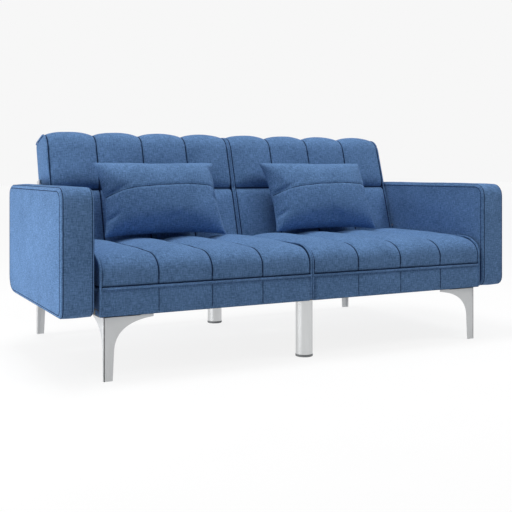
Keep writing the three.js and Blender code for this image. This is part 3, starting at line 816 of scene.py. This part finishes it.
def build_seat_band(sizes, side, sign, places):
    """The plain band below the piping, which wraps the tubes of the frame."""
    inner, outer, front, rear, bottom, parting, deck = places
    skirt = deck - bottom
    apron, flank = 0.016, 0.0022
    bm = bmesh.new()
    x0, x1 = sorted((sign * (inner + 0.001), sign * (outer - 0.0035)))
    bmesh.ops.create_cube(bm, size=1.0)
    bmesh.ops.scale(bm, vec=(x1 - x0, rear - front - 0.003, parting - 0.001 - deck), verts=bm.verts)
    middle = ((x0 + x1) / 2, (front + rear) / 2, (deck + parting - 0.001) / 2)
    bmesh.ops.translate(bm, vec=middle, verts=bm.verts)
    edge_x = sign * (outer - 0.0035 - flank)
    for place, normal in (((0, front + apron, 0), (0, 1, 0)), ((edge_x, 0, 0), (1, 0, 0))):
        geom = [*bm.verts, *bm.edges, *bm.faces]
        bmesh.ops.bisect_plane(bm, geom=geom, dist=1e-6, plane_co=place, plane_no=normal)
    under = [
        face
        for face in bm.faces
        if face.normal.z < -0.9
        and (face.calc_center_median().y < front + apron or abs(face.calc_center_median().x) > abs(edge_x))
    ]
    made = bmesh.ops.extrude_face_region(bm, geom=under)["geom"]
    bmesh.ops.delete(bm, geom=under, context="FACES")
    moved = [item for item in made if isinstance(item, bmesh.types.BMVert)]
    bmesh.ops.translate(bm, vec=(0, 0, -skirt + 0.001), verts=moved)
    long_edges = [
        edge
        for edge in bm.edges
        if abs(edge.verts[0].co.y - front) < 0.003
        and abs(edge.verts[1].co.y - front) < 0.003
        and abs(edge.verts[0].co.x - edge.verts[1].co.x) > 0.1
        and (edge.verts[0].co.z > parting - 0.003 or edge.verts[0].co.z < bottom + 0.003)
    ]
    bmesh.ops.bevel(bm, geom=long_edges, offset=0.006, segments=4, profile=0.5, material=-1, affect="EDGES")
    for index in range(1, 32):
        x = x0 + (x1 - x0) * index / 32
        geom = [*bm.verts, *bm.edges, *bm.faces]
        bmesh.ops.bisect_plane(bm, geom=geom, dist=1e-6, plane_co=(x, 0, 0), plane_no=(1, 0, 0))
    for index in range(1, 7):
        z = bottom + 0.008 + (parting - bottom - 0.016) * index / 7
        geom = [*bm.verts, *bm.edges, *bm.faces]
        bmesh.ops.bisect_plane(bm, geom=geom, dist=1e-6, plane_co=(0, 0, z), plane_no=(0, 0, 1))
    bmesh.ops.remove_doubles(bm, verts=bm.verts, dist=1e-5)
    for vert in bm.verts:
        if vert.co.y < front + 0.007:
            height = (vert.co.z - bottom) / (parting - bottom)
            bulge = 0.0028 * math.sin(math.pi * min(1, max(0, height)))
            bulge += 0.0009 * pucker(vert.co.x, 0, vert.co.z, 0.05, 11.0)
            vert.co.y += 0.004 - bulge
    bmesh.ops.recalc_face_normals(bm, faces=bm.faces)
    band = new_piece(f"seat_{side}_band", bm)
    lay_cloth(band)
    finish_piece(band, "root", "fabric_blue")


# ---- Back ---------------------------------------------------------------------------------------


class SOFA_OT_backs(bpy.types.Operator):
    """Build both back halves: channelled fronts with a cross seam, piping, and dark lines of painted shade in the seams
    """

    bl_idname = "sofa.backs"
    bl_label = "Back halves"

    def execute(self, context):
        for side, sign in SIDES.items():
            build_back(context.scene.sofa_back, context.scene.sofa_seat, side, sign)
        return {"FINISHED"}


def back_frame(side):
    """The back's own frame on its hinge pins: Y is the way it faces, reversed, and Z is up the back."""
    joint = JOINTS[f"back_{side}_recline"]
    lean = math.pi / 2 - math.radians(joint["range_deg"][1])
    pivot = joint["pos_m"]
    return Matrix.Translation((0, pivot[1], pivot[2])) @ Matrix.Rotation(-lean, 4, "X")


def in_back_frame(node, to_back):
    """The lowest and highest corners of a CAD node in the back's own frame."""
    places = [to_back @ vert.co for vert in frame["nodes"][node].data.vertices]
    return (
        Vector([min(place[axis] for place in places) for axis in range(3)]),
        Vector([max(place[axis] for place in places) for axis in range(3)]),
    )


def build_back(sizes, seat_sizes, side, sign):
    place = back_frame(side)
    low, high = in_back_frame(f"back_{side}_cover", place.inverted())
    inner, outer = sorted((abs(low.x), abs(high.x)))
    front, rear, bottom, top = low.y, high.y, low.z, high.z
    channels = seat_sizes.channels
    seams = [inner + 0.002 + (outer - END_SEAM - inner - 0.002) * step / channels for step in range(channels + 1)]
    valley_front = front + sizes.crown - 0.001
    valley_top = top - sizes.top_crown
    cross = sizes.cross_seam
    rows = [-0.052, -0.038, -0.026, -0.017, -0.010, -0.005, -0.002, 0.0, 0.002, 0.005, 0.010, 0.017, 0.026, 0.038, 0.052]
    corners = [
        (valley_front, bottom + 0.004, 0.038, 0.038),
        *[(valley_front, cross + row, 0, 0) for row in rows],
        (valley_front, valley_top, 0.062, 0.062),
        (rear, valley_top, 0.016, 0.016),
        (rear, bottom + 0.004, 0.050, 0.050),
    ]
    points = outline(corners, 0.012)
    normals = outward(points)

    def weight(index):
        point, normal = points[index], normals[index]
        if point.x > rear - 0.060 or normal.x > 0.3:
            return sizes.top_crown * max(0.0, normal.y) ** 1.5
        if normal.y < -0.3:
            return 0.0
        base = sizes.crown + (sizes.top_crown - sizes.crown) * max(0.0, normal.y)
        base *= smoothstep(point.y, bottom + 0.015, bottom + 0.09)
        return base

    weights = [weight(index) if weight(index) > LEAST_CROWN else 0.0 for index in range(len(points))]

    def tuck(index):
        """Depth of the cross seam's fold at an outline point."""
        point, normal = points[index], normals[index]
        if normal.x > -0.2:
            return 0.0, 1.0
        away = abs(point.y - cross)
        return 0.010 * math.exp(-((away / 0.010) ** 2)), pad_rise(away, sizes.cross_reach)

    def lift(x, index):
        away = abs(x)
        point = points[index]
        fold, risen = tuck(index)
        rise = weights[index] * channel_rise(away, seams) * risen - fold
        if normals[index].x < -0.2:
            rise += weights[index] * 0.28 * (risen - 1) * 1.0
        if weights[index]:
            rise += 0.0014 * channel_rise(away, seams) * pucker(x, point.x, point.y, 0.06, 7.0)
            rise += gathers(x, point, nearest(away, seams), 17.0) * risen
        if away > seams[-1]:
            rise -= 0.0045 * smoothstep(away, seams[-1], outer - 0.003) * (1 - max(0.0, normals[index].x))
        return rise

    # Painted shade: this crease mask darkens the cloth's colour beside the back's seams and its cross seam.
    def crease(x, index):
        if not weights[index]:
            return 0.0
        beside = folded_at(nearest(abs(x), seams))
        return max(beside, folded_at(points[index].y - cross, 0.0032)) if normals[index].x < -0.2 else beside

    stations = [sign * x for x in steps_between(seams, inner + 0.001, outer - 0.003, SEAM_STEPS)]
    rings = ((0.003, 0.0006), (0.005, 0.0008), (0.006, 0.0006))  # together less than the rear top radius
    bm = swept(points, stations, lift, crease, cap_rings=rings, cap_cell=0.05)
    cushion = new_piece(f"back_{side}_cushion", bm)
    inflate(cushion, lambda at: held_back(at, seams, rear, bottom, cross), 3.0, 0.005)
    subdivide(cushion)
    lay_cloth(cushion)
    tree = surface_of(cushion)
    cushion.data.transform(place)
    covered = [f"back_{side}_cover", f"back_{side}_foam"]
    finish_piece(cushion, f"back_{side}", "fabric_blue", replaced=covered)

    chosen = [i for i, p in enumerate(points) if normals[i].x < -0.05 or normals[i].y > 0.05]
    chosen = [i for i in chosen if points[i].y > bottom + 0.03 and points[i].x < rear - 0.001]
    chosen.sort(key=lambda i: (round(points[i].x - valley_front, 4) > 0.0, points[i].x if points[i].x > valley_front + 0.0001 else points[i].y))
    paths = []
    # Painted shade: dark lines laid along the channel seams and the cross seam.
    for seam in [seams[0] + 0.0015, *seams[1:-1], seams[-1]]:
        line = [Vector((sign * seam, points[i].x, points[i].y)) for i in chosen]
        facing = [Vector((0, normals[i].x, normals[i].y)) for i in chosen]
        paths.append(laid_on(tree, line, facing, 0.0003))
    row = [Vector((sign * (seams[0] + (seams[-1] - seams[0]) * step / 60), valley_front, cross)) for step in range(61)]
    paths.append(laid_on(tree, row, [Vector((0, -1, 0))] * len(row), 0.0003))
    lines = tubes(f"back_{side}_seams", paths, SEAM_RADIUS)
    lay_cloth(lines)
    lines.data.transform(place)
    finish_piece(lines, f"back_{side}", "fabric_blue", material="seam_thread")

    for label, x, radius in (("outer", outer - sizes.piping * 0.8, sizes.piping * 0.8), ("inner", 0.0041, sizes.piping)):
        path = []
        for i in chosen:
            fold = tuck(i)[0]
            out = normals[i] * (0.001 - 0.5 * fold)
            path.append(Vector((sign * x, points[i].x + out.x, points[i].y + out.y)))
        cord = tubes(f"back_{side}_{label}_piping", [path], radius, sides=3)
        lay_cloth(cord)
        cord.data.transform(place)
        finish_piece(cord, f"back_{side}", "fabric_blue")


def held_back(place, seams, rear, bottom, cross):
    """True on the seams, at the rear and near the bottom edge."""
    away = abs(place.x)
    on_seam = any(abs(away - seam) < 0.0004 for seam in seams)
    on_cross = abs(place.z - cross) < 0.003 and place.y < rear - 0.05
    return on_seam or on_cross or away > seams[-1] or place.y > rear - 0.02 or place.z < bottom + 0.03


# ---- Arms ---------------------------------------------------------------------------------------


class SOFA_OT_arms(bpy.types.Operator):
    """Build both padded arms with their twin seams, drawn as dark lines of painted shade"""

    bl_idname = "sofa.arms"
    bl_label = "Arms"

    def execute(self, context):
        for side, sign in SIDES.items():
            build_arm(context.scene.sofa_arm, side, sign)
        return {"FINISHED"}


def build_arm(sizes, side, sign):
    low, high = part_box(f"arm_{side}_cover")
    edge = sizes.edge
    corners = [
        (low.y, high.z, sizes.front_top, sizes.front_top),
        (high.y, high.z, sizes.rear_top, sizes.rear_top),
        (high.y, low.z, sizes.rear_bottom, sizes.rear_bottom),
        (low.y, low.z, sizes.front_bottom, sizes.front_bottom),
    ]
    points = outline(corners, 0.014)
    normals = outward(points)
    middle = (low.x + high.x) / 2
    half = (high.x - low.x) / 2

    def lift(x, index):
        inset = half - abs(x - middle)
        point = points[index]
        rise = -(edge - math.sqrt(max(0.0, edge**2 - (edge - inset) ** 2))) if inset < edge else 0.0
        along = smoothstep(inset, edge, half)
        ripple = pucker(x, point.x, point.y, 0.09, 5.0 + sign) * 0.0022 + pucker(x, point.x, point.y, 0.03, 9.0) * 0.0006
        return rise + along * (0.0012 + ripple)

    insets = (0.0, 0.0009, 0.0035, 0.0075, 0.012, 0.017, 0.023, 0.031, 0.042)  # closer together on the edge
    stations = sorted({low.x + inset for inset in insets} | {high.x - inset for inset in insets} | {middle})
    rings = ((0.0025, 0.0002), (0.004, 0.0002), (0.005, 0.0003), (0.007, 0.0006), (0.010, 0.0009))
    bm = swept(points, stations, lift, lambda x, index: 0.0, cap_rings=rings, cap_cell=0.024)
    body = new_piece(f"arm_{side}_padding", bm)
    inflate(body, lambda at: held_arm(at, low, high, sizes), 3.0, 0.006)
    subdivide(body)
    lay_cloth(body)
    finish_piece(body, "root", "fabric_blue", replaced=[f"arm_{side}_cover"])

    tree = surface_of(body)
    # Painted shade: dark lines laid along the twin seams.
    paths = []
    count = len(points)
    for face in (-1, 1):
        x_side = middle + face * half
        band_x = x_side - face * sizes.seam_inset
        band = [Vector((band_x, p.x, p.y)) for p in points]
        facing = [Vector((0, n.x, n.y)) for n in normals]
        paths.append(laid_on(tree, band, facing, -0.0003))
        panel = [Vector((x_side, (p - n * (edge + 0.0005)).x, (p - n * (edge + 0.0005)).y)) for p, n in zip(points, normals)]
        paths.append(laid_on(tree, panel, [Vector((face, 0, 0))] * count, -0.0003))
    lines = tubes(f"arm_{side}_seams", paths, 0.0013, closed=True)
    lay_cloth(lines)
    finish_piece(lines, "root", "fabric_blue", material="seam_thread")


def held_arm(place, low, high, sizes):
    """True along both seams and underneath."""
    inset = min(place.x - low.x, high.x - place.x)
    rim = min(place.y - low.y, high.y - place.y, place.z - low.z, high.z - place.z)
    return (0.002 < inset < 0.009) or (inset < 0.002 and rim < 0.012) or place.z < low.z + 0.003


# ---- Pillows ------------------------------------------------------------------------------------


class SOFA_OT_pillows(bpy.types.Operator):
    """Build both loose pillows with their arched seam and its dark line of painted shade"""

    bl_idname = "sofa.pillows"
    bl_label = "Pillows"

    def execute(self, context):
        for side, sign in SIDES.items():
            build_pillow(context.scene.sofa_pillow, side, sign)
        return {"FINISHED"}


def pinch(a, b, sign):
    """Folds that run in from a pillow's side edges, 0 to 1, over its half width and half height."""
    depth = 0.0
    for edge, height, slant, reach in ((-1, 0.02, 0.30, 0.30), (1, -0.10, -0.25, 0.20), (-1, -0.62, 0.5, 0.16), (1, 0.55, 0.4, 0.15)):
        inward = (a - edge) * -edge
        away = b - height - slant * inward
        depth += math.exp(-((away / 0.050) ** 2)) * math.exp(-((inward / reach) ** 2)) * smoothstep(inward, 0.0, 0.03)
    return min(1.0, depth)


def build_pillow(sizes, side, sign):
    low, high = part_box(f"pillow_{side}")
    place = Matrix.Translation((low + high) / 2) @ Matrix.Rotation(-sizes.lean, 4, "X")
    half_width, half_height = sizes.width / 2, sizes.height / 2
    bm = bmesh.new()
    bmesh.ops.create_grid(bm, x_segments=60, y_segments=38, size=1.0)
    bmesh.ops.rotate(bm, verts=bm.verts, matrix=Matrix.Rotation(math.pi / 2, 3, "X"))
    extent = max(vert.co.x for vert in bm.verts)
    bmesh.ops.scale(bm, verts=bm.verts, vec=(1 / extent,) * 3)
    back = bmesh.ops.extrude_face_region(bm, geom=list(bm.faces))["geom"]
    rear_verts = {item for item in back if isinstance(item, bmesh.types.BMVert)}
    for vert in bm.verts:
        a, b = vert.co.x, vert.co.z
        rear_side = vert in rear_verts
        full = 0.22 if not rear_side else 0.0
        reach = (b - full) / (1 - full) if b > full else (full - b) / (1 + full)
        edge_free = max(abs(a), abs(b)) < 1
        swell = (1 - abs(a) ** 2.8) ** 0.6 * (1 - reach**2.1) ** 0.55 if edge_free else 0.0
        depth = 0.0025 + sizes.thickness * (0.36 if rear_side else 0.64) * swell
        depth += 0.004 * swell * pucker(a * 3 * sign, b * 2, 0, 1.0, 21.0 + sign)
        if not rear_side and edge_free:
            depth -= 0.012 * pinch(a, b, sign)
        vert.co.x = a * (half_width - sizes.pull * (1 - b * b))
        vert.co.z = b * (half_height - sizes.pull * 0.6 * (1 - a * a))
        vert.co.y = depth if rear_side else -depth
    bmesh.ops.recalc_face_normals(bm, faces=bm.faces)
    pillow = new_piece(f"pillow_{side}_cushion", bm)
    inflate(pillow, lambda at: False, 5.0, 0.012)
    wide = max(abs(vert.co.x) for vert in pillow.data.vertices)
    tall = max(abs(vert.co.z) for vert in pillow.data.vertices)
    pillow.data.transform(Matrix.Diagonal((half_width / wide, 1, half_height / tall, 1)))
    subdivide(pillow)

    def arch(x):
        share = x / half_width
        return sizes.seam_height - sizes.seam_arch * share * share + sizes.seam_tilt * share

    for vert in pillow.data.vertices:
        if vert.co.y < 0:
            away = vert.co.z - arch(vert.co.x)
            inside = smoothstep(half_width - abs(vert.co.x), 0.0, 0.05)
            vert.co.y += 0.0034 * inside * math.exp(-((away / 0.005) ** 2))
            vert.co.y += 0.0012 * inside * math.exp(-((vert.co.x / 0.005) ** 2))
    lay_cloth(pillow)
    tree = surface_of(pillow)
    pillow.data.transform(place)
    finish_piece(pillow, f"pillow_{side}", "pillow_blue", replaced=[f"pillow_{side}"])

    # Painted shade: a dark line laid in the arched seam's groove.
    facing = Vector((0, -1, 0))
    xs = [half_width * 0.955 * (step / 30 - 1) for step in range(61)]
    line = [Vector((x, -0.05, arch(x))) for x in xs]
    paths = [laid_on(tree, line, [facing] * len(line), -0.0004, reach=0.15)]
    lines = tubes(f"pillow_{side}_seams", paths, 0.0013)
    lay_cloth(lines)
    lines.data.transform(place)
    finish_piece(lines, f"pillow_{side}", "pillow_blue", material="seam_thread")


# ---- Legs ---------------------------------------------------------------------------------------


class SOFA_OT_corner_legs(bpy.types.Operator):
    """Build the four corner legs of bent sheet"""

    bl_idname = "sofa.corner_legs"
    bl_label = "Corner legs"

    def execute(self, context):
        for end in ("front", "rear"):
            for side in SIDES:
                build_corner_leg(context.scene.sofa_legs, end, side)
        return {"FINISHED"}


def wing(bm, along, across, reach, shank, knee_width, tip, height, sizes):
    """One wing of a corner leg: a flat sheet that widens to the top, one edge on the corner."""
    curve = interpolate_bezier(
        Vector((knee_width, sizes.knee)),
        Vector((knee_width + 0.0035, sizes.knee + 0.070)),
        Vector((reach * 0.56, height - 0.017)),
        Vector((reach, height - tip)),
        28,
    )
    shape = [Vector((0, 0)), Vector((shank, 0)), *curve, Vector((reach, height)), Vector((0, height))]
    verts = [bm.verts.new(along * point.x + Vector((0, 0, point.y))) for point in shape]
    face = bm.faces.new(verts)
    made = bmesh.ops.extrude_face_region(bm, geom=[face])["geom"]
    moved = [item for item in made if isinstance(item, bmesh.types.BMVert)]
    bmesh.ops.translate(bm, verts=moved, vec=across * sizes.sheet)


def build_corner_leg(sizes, end, side):
    node = f"leg_{end}_{side}"
    low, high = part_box(node)
    inward = Vector((1 if side == "left" else -1, 0, 0))
    rearward = Vector((0, 1 if end == "front" else -1, 0))
    corner = Vector((low.x if side == "left" else high.x, low.y if end == "front" else high.y, low.z))
    height = high.z - low.z
    bm = bmesh.new()
    wing(bm, inward, rearward, high.x - low.x, sizes.shank, sizes.shank + 0.0045, 0.0095, height, sizes)
    wing(bm, rearward, inward, high.y - low.y, sizes.side_shank, sizes.side_shank + 0.004, 0.007, height, sizes)
    flange = [Vector((0, 0, height)), inward * 0.125 + Vector((0, 0, height)), rearward * 0.125 + Vector((0, 0, height))]
    face = bm.faces.new([bm.verts.new(place) for place in flange])
    made = bmesh.ops.extrude_face_region(bm, geom=[face])["geom"]
    moved = [item for item in made if isinstance(item, bmesh.types.BMVert)]
    bmesh.ops.translate(bm, verts=moved, vec=(0, 0, -sizes.sheet))
    bmesh.ops.recalc_face_normals(bm, faces=bm.faces)
    sharp = [edge for edge in bm.edges if len(edge.link_faces) == 2 and edge.calc_face_angle() > 0.5]
    bmesh.ops.bevel(bm, geom=sharp, offset=0.0009, segments=2, profile=0.5, material=-1, affect="EDGES")
    bmesh.ops.translate(bm, verts=bm.verts, vec=corner)
    leg = new_piece(f"{node}_sheet", bm)
    finish_piece(leg, "root", "silver_paint", replaced=[node])
    leg.data.set_sharp_from_angle(angle=math.radians(35))


class SOFA_OT_round_legs(bpy.types.Operator):
    """Turn the two round legs under the middle, with their plastic caps"""

    bl_idname = "sofa.round_legs"
    bl_label = "Round legs"

    def execute(self, context):
        for end in ("front", "rear"):
            build_round_leg(context.scene.sofa_legs, end)
        return {"FINISHED"}


def turned(name, profile, centre, steps=64):
    """A closed profile of (radius, height) points turned round an upright axis."""
    bm = bmesh.new()
    verts = [bm.verts.new((radius, 0, height)) for radius, height in profile]
    edges = [bm.edges.new(pair) for pair in zip(verts, verts[1:])]
    bmesh.ops.spin(
        bm, geom=[*verts, *edges], cent=(0, 0, 0), axis=(0, 0, 1), angle=math.tau, steps=steps, use_merge=True
    )
    bmesh.ops.remove_doubles(bm, verts=bm.verts, dist=1e-6)
    bmesh.ops.recalc_face_normals(bm, faces=bm.faces)
    bmesh.ops.translate(bm, verts=bm.verts, vec=centre)
    return new_piece(name, bm)


def build_round_leg(sizes, end):
    low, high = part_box(f"centre_leg_{end}")
    cap_low, cap_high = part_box(f"centre_leg_{end}_cap")
    centre = Vector(((low.x + high.x) / 2, (low.y + high.y) / 2, 0))
    radius = (high.x - low.x) / 2
    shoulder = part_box(f"centre_leg_{end}")[0].z
    bore = radius - sizes.wall
    profile = [
        (0, high.z - 0.005), (bore, high.z - 0.005), (bore, shoulder + 0.0004), (bore + 0.0004, shoulder),
        (radius - 0.0006, shoulder), (radius, shoulder + 0.0006), (radius, high.z - 0.0008),
        (radius - 0.0008, high.z), (0, high.z),
    ]
    tube = turned(f"centre_leg_{end}_tube", profile, centre)
    finish_piece(tube, "root", "brushed_tube", replaced=[f"centre_leg_{end}"])
    tube.data.set_sharp_from_angle(angle=math.radians(35))

    lip = (cap_high.x - cap_low.x) / 2
    rim = shoulder - 0.0003
    plug = bore - 0.0006
    profile = [
        (0, cap_low.z + 0.0005), (lip - 0.008, cap_low.z + 0.0005), (lip - 0.007, cap_low.z), (lip - 0.002, cap_low.z),
        (lip - 0.0005, cap_low.z + 0.0008), (lip, cap_low.z + 0.0024), (lip, rim - 0.001), (lip - 0.0003, rim - 0.0003),
        (lip - 0.001, rim), (plug, rim), (plug, cap_high.z), (0, cap_high.z),
    ]
    cap = turned(f"centre_leg_{end}_foot", profile, centre)
    finish_piece(cap, "root", "grey_plastic", replaced=[f"centre_leg_{end}_cap"])
    cap.data.set_sharp_from_angle(angle=math.radians(35))


# ---- Frame finishes and stage -------------------------------------------------------------------


class SOFA_OT_finishes(bpy.types.Operator):
    """Make every finish and put them on the frame's own pieces"""

    bl_idname = "sofa.finishes"
    bl_label = "Finishes"

    def execute(self, context):
        for slot, material in make_finishes().items():
            material.name = FINISH_PREFIX + slot
        for node in frame["nodes"].values():
            slot = node.material_slots[0].material.name.split(".")[0]
            node.material_slots[0].material = finish_of(slot)
        return {"FINISHED"}


class SOFA_OT_stage(bpy.types.Operator):
    """Set the pale floor, the soft lights and the camera"""

    bl_idname = "sofa.stage"
    bl_label = "Stage"

    def execute(self, context):
        sizes = context.scene.sofa_stage
        build_world(sizes)
        build_floor()
        add_light("key", sizes.key, (-2.2, 0.0, 0.35), (-0.9, 0.0, 0.40), 2.0, 0.5)
        add_light("top", sizes.top, (-0.6, 0.2, 4.5), (-0.1, 0.0, 0.4), 1.5, 1.5)
        add_light("side", sizes.side, (1.8, -1.6, 2.6), (-0.3, 0.2, 0.6), 1.0, 1.0)
        add_camera()
        context.scene.view_settings.view_transform = "Standard"
        return {"FINISHED"}


def build_world(sizes):
    """A world that looks white behind the sofa and in metal, and lights cloth from above and from the floor."""
    world = bpy.data.worlds.new("studio")
    bpy.context.scene.world = world
    world.use_nodes = True
    nodes, links = world.node_tree.nodes, world.node_tree.links
    background = nodes["Background"]
    background.inputs["Color"].default_value = (1, 1, 1, 1)
    place = nodes.new("ShaderNodeTexCoord")
    split = nodes.new("ShaderNodeSeparateXYZ")
    links.new(place.outputs["Generated"], split.inputs[0])
    height = split.outputs[2]

    def math_node(operation, *values):
        node = nodes.new("ShaderNodeMath")
        node.operation = operation
        for socket, value in zip(node.inputs, values):
            if isinstance(value, bpy.types.NodeSocket):
                links.new(value, socket)
            else:
                socket.default_value = value
        return node.outputs[0]

    above = math_node("POWER", math_node("MAXIMUM", height, 0.0), 2.0)
    below = math_node("LESS_THAN", height, 0.0)
    light = math_node("MULTIPLY_ADD", above, sizes.sky, math_node("MULTIPLY", below, sizes.bounce))
    rays = nodes.new("ShaderNodeLightPath")
    mix = nodes.new("ShaderNodeMix")
    mix.inputs[2].default_value = sizes.paper
    links.new(rays.outputs["Is Diffuse Ray"], mix.inputs[0])
    links.new(light, mix.inputs[3])
    links.new(mix.outputs[0], background.inputs["Strength"])


def build_floor():
    bm = bmesh.new()
    bmesh.ops.create_grid(bm, x_segments=2, y_segments=2, size=40)
    floor = new_piece("floor", bm)
    made = Finish("floor_paper", Roughness=0.9, Specular_IOR_Level=0.1, Emission_Color=(1, 1, 1, 1), Emission_Strength=0.84)
    grain = made.speckle(made.place(), 3.0)
    floor.data.materials.append(made.done(Base_Color=made.blend(grain, (0.15, 0.15, 0.15), (0.17, 0.17, 0.17))))
    floor.location.z = -0.0005
    floor.visible_diffuse = False
    floor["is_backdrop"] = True


def add_light(name, power, place, target, width, height):
    light = bpy.data.lights.new(name, "AREA")
    light.shape = "RECTANGLE"
    light.size = width
    light.size_y = height
    light.energy = power
    holder = bpy.data.objects.new(name, light)
    holder.location = place
    holder.rotation_euler = (Vector(target) - Vector(place)).to_track_quat("-Z", "Y").to_euler()
    holder.visible_camera = False
    bpy.context.scene.collection.objects.link(holder)


CAMERA_PLACE = (-1.590, -3.060, 0.6689)
CAMERA_TURN = math.radians(-27.653)
CAMERA_LENS = 59.66
CAMERA_SHIFT = -0.1641


def add_camera():
    """A level camera in front and to the left, shifted down to take in the floor."""
    data = bpy.data.cameras.new("camera")
    data.lens = CAMERA_LENS
    data.shift_y = CAMERA_SHIFT
    camera = bpy.data.objects.new("camera", data)
    camera.location = CAMERA_PLACE
    camera.rotation_euler = (math.pi / 2, 0, CAMERA_TURN)
    bpy.context.scene.collection.objects.link(camera)
    bpy.context.scene.camera = camera


# ---- Panel and registration -----------------------------------------------------------------------

BUILD_ORDER = (
    SOFA_OT_finishes,
    SOFA_OT_seats,
    SOFA_OT_backs,
    SOFA_OT_arms,
    SOFA_OT_pillows,
    SOFA_OT_corner_legs,
    SOFA_OT_round_legs,
    SOFA_OT_stage,
)


class SOFA_PT_pieces(bpy.types.Panel):
    """Lists the sofa's pieces in building order"""

    bl_label = "Sofa Bed"
    bl_idname = "SOFA_PT_pieces"
    bl_space_type = "VIEW_3D"
    bl_region_type = "UI"
    bl_category = "Sofa Bed"

    def draw(self, context):
        column = self.layout.column(align=True)
        for operator in BUILD_ORDER:
            column.operator(operator.bl_idname)


CLASSES = (*GROUPS.values(), *BUILD_ORDER, SOFA_PT_pieces)


def register():
    for cls in CLASSES:
        bpy.utils.register_class(cls)
    for name, group in GROUPS.items():
        setattr(bpy.types.Scene, name, PointerProperty(type=group))


def unregister():
    for name in GROUPS:
        delattr(bpy.types.Scene, name)
    for cls in reversed(CLASSES):
        bpy.utils.unregister_class(cls)


def main():
    register()
    for operator in BUILD_ORDER:
        group, name = operator.bl_idname.split(".")
        getattr(getattr(bpy.ops, group), name)()
    corners = {"cad": CAD_BOX, "visual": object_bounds()}
    {name: [list(corner) for corner in pair] for name, pair in corners.items()}


if __name__ == "__main__":
    main()
